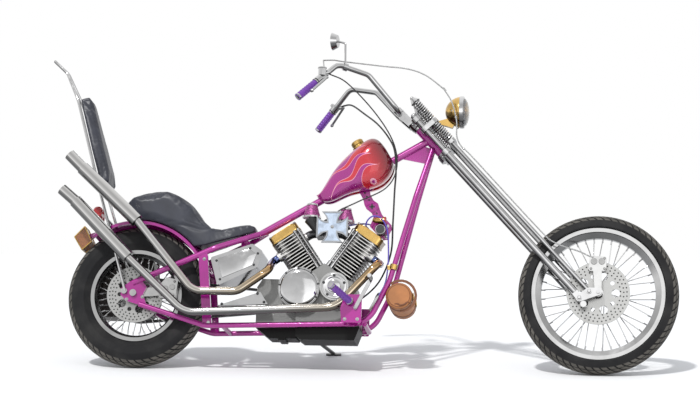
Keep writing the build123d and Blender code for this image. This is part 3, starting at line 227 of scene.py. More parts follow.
def with_painted_reflection(look, colour, low=0.30):
    """A polished metal's colour carrying a painted reflection: its undersides are painted dark as the
    ground's reflection, with a painted highlight at the horizon and a bright top as the sky's.

    The share runs from 0, facing straight down, to 1, facing up; 0.5 is the horizon. Low sets how dark
    the painted underside is."""
    normal = look.add("ShaderNodeNewGeometry", out="Normal")
    height = look.add("ShaderNodeSeparateXYZ", normal, out="Z")
    share = look.math("MULTIPLY_ADD", height, 0.5)
    painted_reflection = look.ramp(
        share,
        (0.0, low * 0.9),
        (0.22, low * 0.45),
        (0.40, low * 0.6),
        (0.50, low * 1.2),
        (0.545, 1.0),
        (0.60, 0.80),
        (0.66, 0.44 + 0.5 * low),
        (0.74, 0.36 + 0.5 * low),
        (0.84, 0.80),
        (1.0, 1.0),
    )
    return look.product(painted_reflection, colour)


def metal(name, colour, rough, low=0.30, dirt=0.16, scale=14.0, bump=0.0, grain=600.0):
    look = Look(name)
    soil = look.ramp(look.noise(scale, 5.0), (0.32, 1.0 - dirt), (0.55, 1.0))
    # Base colour: the metal's colour with a painted reflection, dark undersides and a bright top, under
    # random dirt.
    look.set(Base_Color=look.product(with_painted_reflection(look, colour, low), soil), Metallic=1.0)
    look.set(Roughness=look.ramp(look.noise(scale * 3), (0.4, rough), (0.75, rough + 0.1)))
    if bump:
        look.set(Normal=look.bump(look.noise(grain, 2.0), bump, 0.001))


def paint(name, colour, flake=0.0, rough=0.22, coat=0.8):
    look = Look(name)
    dark = tuple(c * 0.78 for c in colour)
    look.set(Base_Color=look.ramp(look.noise(6.0), (0.3, dark), (0.6, colour)))
    look.set(Roughness=rough, Metallic=flake, Coat_Weight=coat, Coat_Roughness=0.05)


def rubber(name, colour, rough=0.65, dust=0.05):
    look = Look(name)
    dusty = tuple(c + dust for c in colour)
    look.set(Base_Color=look.ramp(look.noise(9.0, 6.0), (0.45, colour), (0.8, dusty)), Roughness=rough)
    look.set(Normal=look.bump(look.noise(900.0, 2.0), 0.15, 0.0006))


def leather(name, colour, rough=0.5, grain=500.0, depth=0.25):
    look = Look(name)
    cells = look.cells(grain)
    dark = tuple(c * 0.62 for c in colour)
    look.set(Base_Color=look.ramp(look.noise(12.0, 6.0), (0.3, dark), (0.7, colour)), Roughness=rough)
    look.set(Normal=look.bump(cells, depth, 0.0006))


def lens(name, colour, rough=0.15, clear=0.35, scale=260.0):
    look = Look(name)
    cells = look.cells(scale)
    dark = tuple(c * 0.55 for c in colour)
    look.set(Base_Color=look.ramp(cells, (0.1, colour), (0.8, dark)), Roughness=rough)
    look.set(Transmission_Weight=clear, IOR=1.45, Coat_Weight=0.6, Normal=look.bump(cells, 0.3, 0.001))


def mesh_look(name, colour, scale):
    """Fine woven wire over a dark ground."""
    look = Look(name)
    cells = look.cells(scale)
    dark = tuple(c * 0.25 for c in colour)
    look.set(Base_Color=look.ramp(cells, (0.15, colour), (0.6, dark)), Metallic=0.3, Roughness=0.4)
    look.set(Normal=look.bump(cells, 0.6, 0.001))


def wheel_polar(look, hub, body):
    """Angle, distance from the axle and distance from the middle plane, in metres."""
    offset = look.away(PLACES[body] @ hub)
    across = look.dot(offset, rotated(AXIS_Y, body))
    fore = look.dot(offset, rotated(AXIS_X, body))
    rise = look.dot(offset, rotated(AXIS_Z, body))
    angle = look.math("ARCTAN2", rise, fore)
    square = look.plus(look.times(fore, fore), look.times(rise, rise))
    return angle, look.math("SQRT", square), across


def tyre_look(name, hub, body, crown_r, blocks):
    """Black sidewalls and a dusty crown cut by slanted grooves."""
    look = Look(name)
    angle, radius, across = wheel_polar(look, hub, body)
    side = look.math("ABSOLUTE", across)
    turn = look.times(angle, blocks / (2 * pi))
    slant = look.plus(turn, look.times(side, 34.0))
    wave = look.math("ABSOLUTE", look.minus(look.math("FRACT", slant), 0.5))
    cross_cut = look.ramp(wave, (0.0, 0.0), (0.10, 0.0), (0.15, 1.0))
    groove = look.math("ABSOLUTE", look.minus(look.math("PINGPONG", side, 0.016), 0.008))
    ring_cut = look.ramp(look.times(groove, 100.0), (0.0, 0.0), (0.09, 0.0), (0.16, 1.0))
    on_crown = look.ramp(look.times(look.minus(radius, crown_r), 50.0), (0.35, 0.0), (0.5, 1.0))
    tread = look.times(cross_cut, ring_cut)
    height = look.times(tread, on_crown)
    rib = look.math("SINE", look.times(radius, 900.0))
    height = look.plus(height, look.times(rib, 0.03))
    worn = look.ramp(look.noise(11.0, 6.0), (0.3, (0.075, 0.07, 0.062)), (0.7, (0.14, 0.13, 0.115)))
    wall = look.ramp(look.noise(9.0, 6.0), (0.4, (0.011, 0.011, 0.012)), (0.8, (0.032, 0.031, 0.03)))
    crown = look.mix(tread, (0.008, 0.008, 0.008), worn)
    look.set(Base_Color=look.mix(on_crown, wall, crown), Roughness=0.7, Specular_IOR_Level=0.2)
    look.set(Normal=look.bump(height, 0.7, 0.004))


def disc_look(name, hub, body, disc_r):
    """Brushed steel drilled with rings of small holes, given as (share of the radius, count); the holes
    are near-black painted spots, painted shade in place of openings.
    """
    look = Look(name)
    angle, radius, _ = wheel_polar(look, hub, body)
    nearest = None
    for share, count in ((0.70, 30), (0.80, 36), (0.90, 42)):
        ring_r = disc_r * share
        turn = look.math("FRACT", look.times(look.plus(angle, share * 9.0), count / (2 * pi)))
        around = look.times(look.minus(turn, 0.5), 2 * pi * ring_r / count)
        out = look.minus(radius, ring_r)
        gap = look.math("SQRT", look.plus(look.times(around, around), look.times(out, out)))
        nearest = gap if nearest is None else look.math("MINIMUM", nearest, gap)
    hole_shade = look.ramp(look.times(nearest, 100.0), (0.30, 0.05), (0.38, 1.0))
    brushed = look.times(look.math("SINE", look.times(radius, 4200.0)), 0.05)
    # Painted reflection multiplied by the painted shade of the holes.
    base = look.product(with_painted_reflection(look, (0.50, 0.50, 0.49), 0.5), hole_shade)
    look.set(Base_Color=base, Metallic=0.9, Roughness=look.plus(brushed, 0.3))


def tank_look():
    """Magenta tank: a red front whose flames lick back, edged by a pale line; the red darkens to near
    black at the nose as painted shade.
    """
    look = LOOKS["flame_paint"] = Look("tank_flames")
    offset = look.away(LEANED @ TANK_ORIGIN)
    u = look.dot(offset, rotated(TANK_DIR))
    v = look.dot(offset, rotated(TANK_UP))
    y = look.math("ABSOLUTE", look.dot(offset, rotated(AXIS_Y)))
    wave = look.times(look.math("SINE", look.times(u, 2 * pi / 0.15)), 0.013)
    w = look.plus(look.minus(v, look.times(y, 0.75)), wave)
    tongue = look.math("PINGPONG", look.times(look.plus(w, 0.3), 1 / 0.031), 1.0)
    t = look.math("DIVIDE", look.minus(u, 0.055), 0.27, clamp=True)
    d = look.minus(look.math("POWER", t, 1.6), look.times(tongue, 0.93))
    shape = look.math("MULTIPLY_ADD", d, 0.5)
    magenta = (0.33, 0.010, 0.20)
    # The red darkens to near black at the tank's nose: painted shade.
    red = look.ramp(
        look.times(u, 2.6),
        (0.35, (0.62, 0.02, 0.04)),
        (0.75, (0.50, 0.008, 0.02)),
        (1.0, (0.10, 0.002, 0.01)),
    )
    inside = look.ramp(shape, (0.515, 0.0), (0.53, 1.0))
    line = look.ramp(shape, (0.478, 0.0), (0.487, 1.0), (0.513, 1.0), (0.522, 0.0))
    flames = look.mix(inside, magenta, red)
    look.set(Base_Color=look.mix(line, flames, (0.80, 0.36, 0.42)))
    look.set(Metallic=0.25, Roughness=0.2, Coat_Weight=1.0, Coat_Roughness=0.04)


def fin_look(name, sign):
    """Bright fin edges round a middle painted near black: painted shade in the gaps between the fins."""
    look = Look(name)
    axis = rotated(cylinder_axes(sign)[0])
    offset = look.away(LEANED @ CRANK)
    up = look.dot(offset, axis)
    along = look.add("ShaderNodeVectorMath", tuple(axis), p_operation="SCALE", Scale=up)
    flat = look.add("ShaderNodeVectorMath", offset, along, p_operation="SUBTRACT")
    # Near black towards the cylinder's axis and bright at the fin edges: painted shade between the fins.
    fin_gap_shade = look.ramp(look.times(look.length(flat), 10.0), (0.62, 0.03), (0.71, 1.0))
    base = look.product(with_painted_reflection(look, (0.68, 0.67, 0.65), 0.55), fin_gap_shade)
    look.set(Base_Color=base, Metallic=0.85, Roughness=0.36)


def pipe_look(name, sign):
    """Chrome that the heat has tinted near the port: blue and violet, then gold."""
    look = Look(name)
    reach = look.length(look.away(LEANED @ cylinder_point(sign, 270, 84, -38)))
    reach = look.plus(reach, look.times(look.noise(20.0), 0.03))
    tint = look.ramp(
        look.times(reach, 1.7),
        (0.08, (0.22, 0.28, 0.60)),
        (0.17, (0.46, 0.34, 0.66)),
        (0.27, (0.80, 0.50, 0.22)),
        (0.48, (0.88, 0.76, 0.58)),
        (0.95, (1.0, 0.99, 0.97)),
    )
    colour = look.product((0.74, 0.74, 0.745), tint)
    # The heat tint carries the painted reflection as well.
    look.set(Base_Color=with_painted_reflection(look, colour), Metallic=1.0, Roughness=0.08)


def case_look():
    """Cast engine cases, black below their polished upper part."""
    look = Look("engine_case")
    parting = LEANED @ Vector((0, 0, 196))
    rise = look.dot(look.away(parting), rotated(AXIS_Z))
    upper = look.ramp(look.math("MULTIPLY_ADD", rise, 10.0), (0.47, 0.03), (0.53, 1.0))
    # The case colour carries the painted reflection as well.
    base = look.product(with_painted_reflection(look, (0.27, 0.27, 0.265), 0.6), upper)
    grain = look.bump(look.noise(500.0, 2.0), 0.2, 0.001)
    look.set(Base_Color=base, Metallic=0.75, Roughness=0.42, Normal=grain)


paint("magenta_paint", (0.36, 0.008, 0.235), flake=0.2)
tank_look()
metal("chrome", (0.74, 0.74, 0.745), 0.07)
metal("polished_alloy", (0.70, 0.70, 0.695), 0.15, low=0.42)
metal("cast_alloy", (0.42, 0.42, 0.415), 0.34, low=0.5, bump=0.2)
metal("gold_paint", (0.80, 0.52, 0.17), 0.2, low=0.4, bump=0.25, grain=260.0)
paint("black_steel", (0.016, 0.016, 0.018), rough=0.4, coat=0.2)
metal("disc_steel", (0.62, 0.62, 0.62), 0.24)
rubber("tyre", (0.02, 0.02, 0.021))
leather("vinyl", (0.026, 0.029, 0.043), rough=0.40, grain=700.0, depth=0.12)
leather("tan_leather", (0.43, 0.165, 0.05), rough=0.52)
leather("dark_leather", (0.035, 0.028, 0.024))
paint("violet_rubber", (0.16, 0.035, 0.36), flake=0.25, rough=0.32, coat=0.4)
rubber("hose_rubber", (0.014, 0.014, 0.015), rough=0.4, dust=0.02)
lens("red_lens", (0.74, 0.012, 0.02))
lens("amber_lens", (0.46, 0.17, 0.06), rough=0.3)
metal("cross_paint", (0.50, 0.58, 0.70), 0.34, low=0.75, dirt=0.3, scale=30.0)
metal("white_rim", (0.52, 0.54, 0.57), 0.2, low=0.35)
leather("strap_leather", (0.20, 0.065, 0.02))
metal("dark_cast", (0.10, 0.10, 0.105), 0.4, low=0.6)
metal("mirror_glass", (0.78, 0.80, 0.82), 0.02, low=0.7, dirt=0.02)
lens("clear_lens", (0.86, 0.88, 0.90), rough=0.05, clear=0.8, scale=90.0)
mesh_look("filter_mesh", (0.62, 0.10, 0.40), 264.0)
mesh_look("silver_hose", (0.74, 0.74, 0.73), 480.0)
rubber("violet_lead", (0.09, 0.06, 0.40), rough=0.35, dust=0.02)
metal("wheel_chrome", (0.60, 0.60, 0.60), 0.12, low=0.35)
case_look()
# Nodes that don't wear the look of their slot
NODE_LOOKS = {
    "crankcase": "engine_case",
    "carburettor": "dark_cast",
    "control_plates": "magenta_paint",
}
for end, sign, hub, crown_r, blocks, disc_r in (
    ("front", 1, FRONT_HUB, 0.336, 62, 0.146),
    ("rear", -1, REAR_HUB, 0.299, 54, 0.1335),
):
    tyre_look(f"{end}_tread", hub, f"{end}_wheel_set", crown_r, blocks)
    disc_look(f"{end}_brake", hub, f"{end}_wheel_set", disc_r)
    fin_look(f"{end}_fins", sign)
    pipe_look(f"{end}_pipe", sign)
    NODE_LOOKS[f"{end}_tyre"] = f"{end}_tread"
    NODE_LOOKS[f"{end}_disc"] = f"{end}_brake"
    NODE_LOOKS[f"{end}_cylinder"] = f"{end}_fins"
    NODE_LOOKS[f"exhaust_{end}"] = f"{end}_pipe"
    NODE_LOOKS[f"{end}_wheel"] = "wheel_chrome"


def dress(obj, look_name):
    obj.data.materials.clear()
    obj.data.materials.append(LOOKS[look_name].mat)


for node_name, node_object in frame["nodes"].items():
    dress(node_object, NODE_LOOKS.get(node_name, SLOT_OF[node_name]))


# ---- shapes
def curve_points(points):
    """Points along a smooth line through the given ones, eight to a span."""
    points = [Vector(p) for p in points]
    ends = [2 * points[0] - points[1]] + points + [2 * points[-1] - points[-2]]
    line = []
    for a, b, c, d in zip(ends, ends[1:], ends[2:], ends[3:]):
        for t in [i / 8 for i in range(8)]:
            point = 2 * b + (c - a) * t + (2 * a - 5 * b + 4 * c - d) * t**2
            line.append(0.5 * (point + (3 * b - a - 3 * c + d) * t**3))
    line.append(points[-1])
    return line


class Shape:
    """Collects turned, swept and flat forms into one piece."""

    def __init__(self):
        self.bm = bmesh.new()

    def circle(self, centre, across, other, radius, sides):
        angles = [2 * pi * i / sides for i in range(sides)]
        return [
            self.bm.verts.new(centre + radius * (cos(a) * across + sin(a) * other))
            for a in angles
        ]

    def skin(self, rings, closed=False):
        """Faces between rings of points; a ring of one point is a tip."""
        pairs = list(zip(rings, rings[1:])) + ([(rings[-1], rings[0])] if closed else [])
        for low, high in pairs:
            count = max(len(low), len(high))
            for i in range(count):
                j = (i + 1) % count
                if len(low) == 1:
                    self.bm.faces.new((low[0], high[j], high[i]))
                elif len(high) == 1:
                    self.bm.faces.new((low[i], low[j], high[0]))
                else:
                    self.bm.faces.new((low[i], low[j], high[j], high[i]))

    def turned(self, origin, axis, profile, sides=32, closed=False):
        """A body turned about an axis from (radius, height) pairs."""
        axis = Vector(axis).normalized()
        across = axis.orthogonal().normalized()
        other = axis.cross(across)
        rings = []
        for radius, height in profile:
            centre = Vector(origin) + axis * height
            if radius < 1e-6:
                rings.append([self.bm.verts.new(centre)])
            else:
                rings.append(self.circle(centre, across, other, radius, sides))
        self.skin(rings, closed)
        return self

    def rod(self, start, end, radius, end_radius=None, edge=0.8, sides=24):
        """A round bar or cone with broken edges."""
        start, end = Vector(start), Vector(end)
        last = radius if end_radius is None else end_radius
        edge = min(edge, radius * 0.5, last * 0.5)
        length = (end - start).length
        foot = [(0, 0), (radius - edge, 0), (radius, edge)]
        head = [(last, length - edge), (last - edge, length), (0, length)]
        return self.turned(start, end - start, foot + head, sides)

    def ring(self, centre, axis, radius, wire, sides=40, around=10):
        turns = [2 * pi * i / around for i in range(around)]
        profile = [(radius + wire * cos(a), wire * sin(a)) for a in turns]
        return self.turned(centre, axis, profile, sides, closed=True)

    def ball(self, centre, radius, axis=AXIS_Z, flat=1.0):
        turns = [pi * i / 12 for i in range(13)]
        profile = [(radius * sin(a), -radius * flat * cos(a)) for a in turns]
        return self.turned(centre, axis, profile, 24)

    def tube(self, line, radius, sides=10):
        """A round tube along many points."""
        line = [Vector(p) for p in line]
        side = (line[1] - line[0]).orthogonal().normalized()
        rings = []
        for index, point in enumerate(line):
            run = (line[min(index + 1, len(line) - 1)] - line[max(index - 1, 0)]).normalized()
            side = (side - run * side.dot(run)).normalized()
            rings.append(self.circle(point, side, run.cross(side), radius, sides))
        self.skin([[self.bm.verts.new(line[0])], *rings, [self.bm.verts.new(line[-1])]])
        return self

    def spring(self, start, axis, height, radius, wire, turns, steps=18):
        """A coil spring, with so many steps to a turn."""
        axis = Vector(axis).normalized()
        across = axis.orthogonal().normalized()
        other = axis.cross(across)
        line = []
        for index in range(int(turns * steps) + 1):
            angle = 2 * pi * index / steps
            lift = wire + (height - 2 * wire) * index / (turns * steps)
            out = radius * (cos(angle) * across + sin(angle) * other)
            line.append(Vector(start) + axis * lift + out)
        return self.tube(line, wire, 8)

    def flat(self, outline, depth, edge=0.0):
        """A flat piece from an outline of points, as deep as a vector, with broken edges."""
        part = bmesh.new()
        face = part.faces.new([part.verts.new(Vector(p)) for p in outline])
        grown = bmesh.ops.extrude_face_region(part, geom=[face])
        new = [g for g in grown["geom"] if isinstance(g, bmesh.types.BMVert)]
        bmesh.ops.translate(part, verts=new, vec=Vector(depth))
        bmesh.ops.recalc_face_normals(part, faces=part.faces)
        if edge:
            bmesh.ops.bevel(
                part, geom=list(part.edges), offset=edge, segments=2, profile=0.6, affect="EDGES"
            )
        spare = bpy.data.meshes.new("spare")
        part.to_mesh(spare)
        part.free()
        self.bm.from_mesh(spare)
        bpy.data.meshes.remove(spare)
        return self

    def slab(self, outline, y_from, y_to, edge=0.0):
        """A flat piece with an outline of (x, z) points between two values of Y."""
        return self.flat([(x, y_from, z) for x, z in outline], (0, y_to - y_from, 0), edge)

    def block(self, centre, size, edge=0.0, forward=AXIS_X, upward=AXIS_Z):
        """A box from its centre and its length, width and height."""
        forward, upward = forward.normalized(), upward.normalized()
        across = upward.cross(forward)
        half = [s / 2 for s in size]
        low = Vector(centre) - upward * half[2]
        corners = [(1, 1), (-1, 1), (-1, -1), (1, -1)]
        outline = [low + forward * half[0] * a + across * half[1] * b for a, b in corners]
        return self.flat(outline, upward * size[2], edge)

    def bolt(self, place, axis, radius, height=4.0):
        """A domed bolt head on its washer."""
        self.turned(place, axis, [(0, 0), (radius * 1.35, 0), (radius * 1.35, 1.2), (0, 1.2)], 16)
        top = [(0, 1), (radius, 1), (radius, height * 0.7), (radius * 0.7, height), (0, height)]
        return self.turned(place, axis, top, 12)

    def bolts(self, places, y, radius, height, sides=(-1, 1)):
        """Bolts at (x, z) places on faces that look to the sides, y off the middle."""
        for x, z in places:
            for side in sides:
                self.bolt((x, side * y, z), (0, side, 0), radius, height)

    def buckle(self, centre, half, other, wire):
        """A rectangle of wire from its centre and its two half sides."""
        for sign in (-1, 1):
            self.rod(centre + other * sign - half, centre + other * sign + half, wire)
            self.rod(centre + half * sign - other, centre + half * sign + other, wire)

    def done(self, name, look_name, body="chassis", slot=None, stands_for=(), ride=True, sharp=38):
        """Makes the collected forms one object that moves with a body."""
        bmesh.ops.recalc_face_normals(self.bm, faces=self.bm.faces)
        self.bm.transform(PLACES[body])
        mesh = bpy.data.meshes.new(name)
        self.bm.to_mesh(mesh)
        self.bm.free()
        for polygon in mesh.polygons:
            polygon.use_smooth = True
        mesh.set_sharp_from_angle(angle=radians(sharp))
        obj = placed(name, mesh)
        dress(obj, look_name)
        if ride:
            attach(obj, body)
        if stands_for:
            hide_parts(*stands_for)
        slot = slot or (look_name if look_name in SLOT_OF.values() else None)
        return obj


# Fork springs, rod nuts, headset cups and tree bolts
ROD_Y, ROD_FORWARD = 88, 63
springs = Shape()
for side in (-1, 1):
    for start, end, turns in ((992.5, 1101.5, 9), (1124.5, 1242.5, 10)):
        springs.spring(fork_point(ROD_FORWARD, side * ROD_Y, start), ALONG, end - start, 18.9, 3.1, turns)
springs.done("fork_coils", "chrome", "steering", stands_for=["fork_springs"])
nuts = Shape()
for side in (-1, 1):
    leg_top = fork_point(12.5, side * ROD_Y, 1203)
    nuts.rod(fork_point(12.5, side * ROD_Y, 1193), leg_top, 16)
    nuts.ball(leg_top, 11, ALONG, 0.8)
    nuts.ball(fork_point(ROD_FORWARD, side * ROD_Y, 1268), 10, ALONG, 1.0)
    for along in (964, 1177):
        nuts.bolt(fork_point(-14, side * 64, along), -FORWARD, 6, 6)
    for forward, along in ((7.5, 36), (60.4, 28)):
        nuts.bolt(fork_point(forward, side * 114, along), (0, side, 0), 9, 8)
    nuts.rod(fork_point(0, side * 111, 0), fork_point(0, side * 126, 0), 15)
stem_top = fork_point(0, 0, 1202)
nuts.rod(fork_point(0, 0, 1188), stem_top, 20, sides=6)
nuts.ball(stem_top, 12, ALONG, 0.7)
for along in (978, 1150):
    nuts.turned(fork_point(0, 0, along), ALONG, [(26.5, 0), (31, 1), (31, 11), (26.5, 12)], 32)
nuts.done("fork_nuts", "chrome", "steering")

# Headlight: rim, lens and shell bolts
LAMP = Vector((1434, 0, 1244))
rim = Shape()
rim_section = [(74.4, 70), (77, 72), (77, 86), (74, 91), (68, 91), (66, 88), (66, 84)]
rim.turned(LAMP, AXIS_X, rim_section, 48)
rim.bolt(LAMP + Vector((60, 0, -74)), (0, 0, -1), 5, 6)
for side in (-1, 1):
    rim.bolt(LAMP + Vector((40, side * 58, -6)), (0, side, 0), 6, 5)
rim.done("headlight_rim", "chrome", "steering")
turns = [pi * i / 20 for i in range(1, 11)]
dome = [(0, 114.5)] + [(68 * sin(a), 88 + 26.5 * cos(a)) for a in turns]
Shape().turned(LAMP, AXIS_X, dome, 48).done("headlight_lens", "clear_lens", "steering")

# Handlebar ends, levers' fittings, master cylinder and mirror glass
BAR_END = Vector((779, 335, 1239))
GRIP_DIR = (Vector((945, 232, 1420)) - BAR_END).normalized()


def twin(point, side):
    return Vector((point.x, side * point.y, point.z))


fittings, ribs = Shape(), Shape()
for side in (-1, 1):
    run = twin(GRIP_DIR, side)
    end = twin(BAR_END, side)
    fittings.turned(end - run * 5.2, run, [(0, 0), (13, 0), (18.4, 3), (18.4, 9), (17.4, 11)], 28)
    fittings.turned(end + run * 114, run, [(17.4, 0), (20.5, 1), (20.5, 6), (17.4, 7)], 28)
    for step in range(7):
        ribs.ring(end + run * (14 + 14 * step), run, 17.3, 1.5, 28, 6)
    clamp = end + run * 139
    off_bar = Vector((30, side * 10, 8))
    lever_root = clamp + 1.4 * off_bar
    fittings.ball(twin(BAR_END + GRIP_DIR * 18, side) + 1.8 * off_bar, 8.5)
    fittings.bolt(lever_root + Vector((0, 0, 8)), AXIS_Z, 5, 4)
    fittings.bolt(clamp + Vector((-6, 0, -19)), (0, 0, -1), 4, 4)
reservoir = twin(BAR_END + GRIP_DIR * 150, -1) + Vector((6, 2, 26))
cap_foot = reservoir + Vector((0, 0, 22))
fittings.rod(reservoir + Vector((0, 0, -12)), cap_foot, 19)
fittings.rod(cap_foot, reservoir + Vector((0, 0, 28)), 21)
fittings.rod(reservoir + Vector((-4, 0, -8)), reservoir + Vector((36, 10, 8)), 9)
for side in (-1, 1):
    for forward in (-8, -30):
        fittings.bolt(fork_point(forward, side * 54.5, 1263), (0, side, 0), 4.5, 4)
fittings.done("bar_fittings", "chrome", "steering")
ribs.done("grip_ribs", "violet_rubber", "steering")
face = Vector((911, -190, 1543))
face_dir = (face - Vector((937, -194, 1543))).normalized()
glass = Shape().rod(face - face_dir * 0.5, face + face_dir * 1.5, 38.5)
glass.done("mirror_face", "mirror_glass", "steering")

# Foot pegs' end rings and ribs, the levers' pads and the control plates' bolts
fittings, ribs = Shape(), Shape()
for side in (-1, 1):
    inner, outer = Vector((1030, side * 214, 291)), Vector((951, side * 330, 346))
    run = (outer - inner).normalized()
    tip = [(16, 0), (17.6, 1), (17.6, 7), (14, 10), (15, 11), (0, 11)]
    fittings.turned(outer - run * 10.8, run, tip, 28)
    fittings.turned(inner - run * 2, run, [(0, 0), (18, 0), (18, 8), (16, 9)], 28)
    for step in range(6):
        ribs.ring(inner + run * (20 + 18 * step), run, 15.8, 1.6, 28, 6)
        fittings.ring((1122, side * (214 + 13 * step), 400), AXIS_Y, 9.2, 1.4, 24, 6)
    fittings.bolts(((1006, 212), (1064, 212), (1030, 291)), 200.3, 6, 5, [side])
    fittings.bolts([(1054, 264)], 208.5, 6, 5, [side])
fittings.done("foot_trim", "chrome")
ribs.done("peg_ribs", "violet_rubber")


# Engine covers: a domed clutch cover and a gear cover, with their rings of bolts
def rounded(half_x, half_y, corner, count=6):
    """A rounded rectangle as points round its centre."""
    points = []
    for turn, (a, b) in enumerate(((1, 1), (-1, 1), (-1, -1), (1, -1))):
        for step in range(count + 1):
            angle = pi / 2 * (turn + step / count)
            x = a * (half_x - corner) + corner * cos(angle)
            points.append((x, b * (half_y - corner) + corner * sin(angle)))
    return points


CLUTCH = Vector((780, -130, 368))
GEAR = Vector((945, -138, 376))
covers = Shape()
covers.turned(CLUTCH, RIGHT, [(92, -4), (88, 2), (84, 6), (72, 9), (40, 12), (0, 13)], 64)
covers.ring(CLUTCH, RIGHT, 91, 3.5, 64)
steps = [(60, -2), (58, 3), (52, 4.5), (44, 4.5), (42, 3), (30, 3), (28, 6), (20, 8), (0, 9)]
covers.turned(GEAR, RIGHT, steps, 48)
covers.done("cover_domes", "chrome")
bolts = Shape()
for index in range(9):
    bolts.bolt(CLUTCH + 91 * polar(2 * pi * (index + 0.3) / 9), RIGHT, 4.5, 6)
for index in range(5):
    angle = 2 * pi * (index + 0.25) / 5
    bolts.bolt(GEAR + Vector((50 * cos(angle), -4, 50 * sin(angle))), RIGHT, 5, 4)
bolts.bolts(((425, 285), (590, 336), (622, 296)), 140, 5, 5, ON_RIGHT)
bolts.done("cover_bolts", "black_steel")

# Rocker covers: a stepped lid and bolts; pushrod tubes, plugs and their leads
PUSHROD_Y = -81.5
LEAD_ENDS = [(1100, 96, 712), (1140, 70, 668)]
lids, lid_bolts, pushrods, plugs, leads = (Shape() for _ in range(5))
for sign in (1, -1):
    axis, outward = cylinder_axes(sign)
    top = CRANK + axis * (HEAD_TOP + 36)
    foot = CRANK + axis * HEAD_TOP
    lids.flat([top + outward * x + AXIS_Y * y for x, y in rounded(62, 50, 20)], axis * 9, 3)
    lids.flat([foot + outward * x + AXIS_Y * y for x, y in rounded(78, 67, 26)], axis * 7, 1.5)
    for a, b in ((1, 1), (1, -1), (-1, 1), (-1, -1)):
        lid_bolts.bolt(top + outward * 68 * a * 0.98 + AXIS_Y * 56 * b, axis, 6, 7)
    for out in (46, 65):
        low, sleeve, collar, high = (
            cylinder_point(sign, height, -out, PUSHROD_Y)
            for height in (118, 144, HEAD_TOP - 14, HEAD_TOP)
        )
        pushrods.rod(low, high, 5.5)
        pushrods.rod(low, sleeve, 9)
        pushrods.rod(collar, high, 8)
    seat_at = cylinder_point(sign, 300, 0, 56)
    plug_out = cylinder_point(sign, 306, 0, 94)
    plugs.rod(seat_at, plug_out, 6)
    cap = plug_out + (plug_out - seat_at).normalized() * 24
    leads.rod(plug_out, cap, 9)
    middle = cylinder_point(sign, 346, 10, 124)
    leads.tube(curve_points([cap, middle, (1010 + sign * 20, 108, 716), *LEAD_ENDS]), 3.5)
lids.done("rocker_lids", "gold_paint")
lid_bolts.done("rocker_bolts", "chrome")
pushrods.done("pushrod_tubes", "chrome")
plugs.done("spark_plugs", "cast_alloy")
leads.done("plug_leads", "violet_lead")

# Air cleaner: a cross with a raised rim, and the two cone filters
CROSS = Vector((929, 0, 653))
CROSS_BACK, CROSS_FACE, CROSS_RIM = -134, -149, -153


def cross_outline(grow=0.0):
    """The cross's outline: arms that widen to their tips with hollow sides."""
    half, tip, notch = 73 + grow, 50 + grow, 25 + grow
    waist = (50, 32 + grow)
    points = []
    for turn in range(4):
        along, across = cos(pi / 2 * turn), sin(pi / 2 * turn)
        arm = []
        for t in [i / 6 for i in range(7)]:
            a, b, c = (1 - t) * (1 - 2 * t), 4 * t * (1 - t), t * (2 * t - 1)
            arm.append((a * notch + b * waist[0] + c * half, a * notch + b * waist[1] + c * tip))
        arm = [(x, -y) for x, y in arm[1:]] + [(x, y) for x, y in reversed(arm)]
        points += [(CROSS.x + x * along - z * across, CROSS.z + x * across + z * along) for x, z in arm]
    return points


cross = Shape()
outer, inner = cross_outline(), cross_outline(-7)
cross.slab(outer, CROSS_BACK, CROSS_FACE)
rim = ((outer, CROSS_FACE), (outer, CROSS_RIM), (inner, CROSS_RIM), (inner, CROSS_FACE))
cross.skin([[cross.bm.verts.new((x, y, z)) for x, z in line] for line, y in rim])
cross.done("cross_rim", "white_rim", slot="cross_paint", stands_for=["air_cleaner"], sharp=30)
Shape().slab(cross_outline(-6.5), CROSS_FACE, CROSS_FACE - 1).done("cross_face", "cross_paint", sharp=30)
Shape().rod((911, -134.2, 660), (911, -118, 660), 36).done("cross_neck", "hose_rubber")
Shape().bolt((CROSS.x, CROSS_FACE - 1, CROSS.z), RIGHT, 6, 5).done("cross_bolt", "chrome")
FILTER_Y = -60
stubs, meshes, bands = Shape(), Shape(), Shape()
for x, z, inlet in ((821, 713, -30), (982, 692, 30)):
    base = Vector((x, FILTER_Y, z))
    stubs.rod((CRANK.x + inlet, FILTER_Y, 640), base, 18, 38, 2, 32)
    meshes.turned(base, AXIS_Z, [(0, 0), (41, 0), (41, 6), (24, 61), (0, 61)], 36)
    bands.turned(base, AXIS_Z, [(41, -1), (43.5, -1), (43.5, 7), (41, 7)], 36)
    bands.turned(base, AXIS_Z, [(0, 60), (26, 60), (26, 66), (20, 70), (0, 71)], 36)
stubs.done("filter_stubs", "hose_rubber")
meshes.done("intake_filters", "filter_mesh")
bands.done("filter_bands", "chrome")

# Coil bracket with its holes as dark discs of painted shade, the coil, the bullet lamp and the lead's
# loop
BRACKET = [
    (1016, 885), (1075, 921), (1089, 841), (1104, 814), (1126, 799), (1136, 768), (1147, 744),
    (1170, 719), (1192, 695), (1195, 674), (1184, 652), (1182, 625), (1152, 622), (1124, 652),
    (1090, 688), (1106, 731), (1097, 752), (1072, 771), (1061, 792), (1055, 818),
]
COIL_X, COIL_Z, COIL_END = 1145, 662, 62
Shape().slab(BRACKET, -4, 4, 1.2).done("bracket_plate", "magenta_paint", stands_for=["coil_bracket"])
holes, bolts = Shape(), Shape()
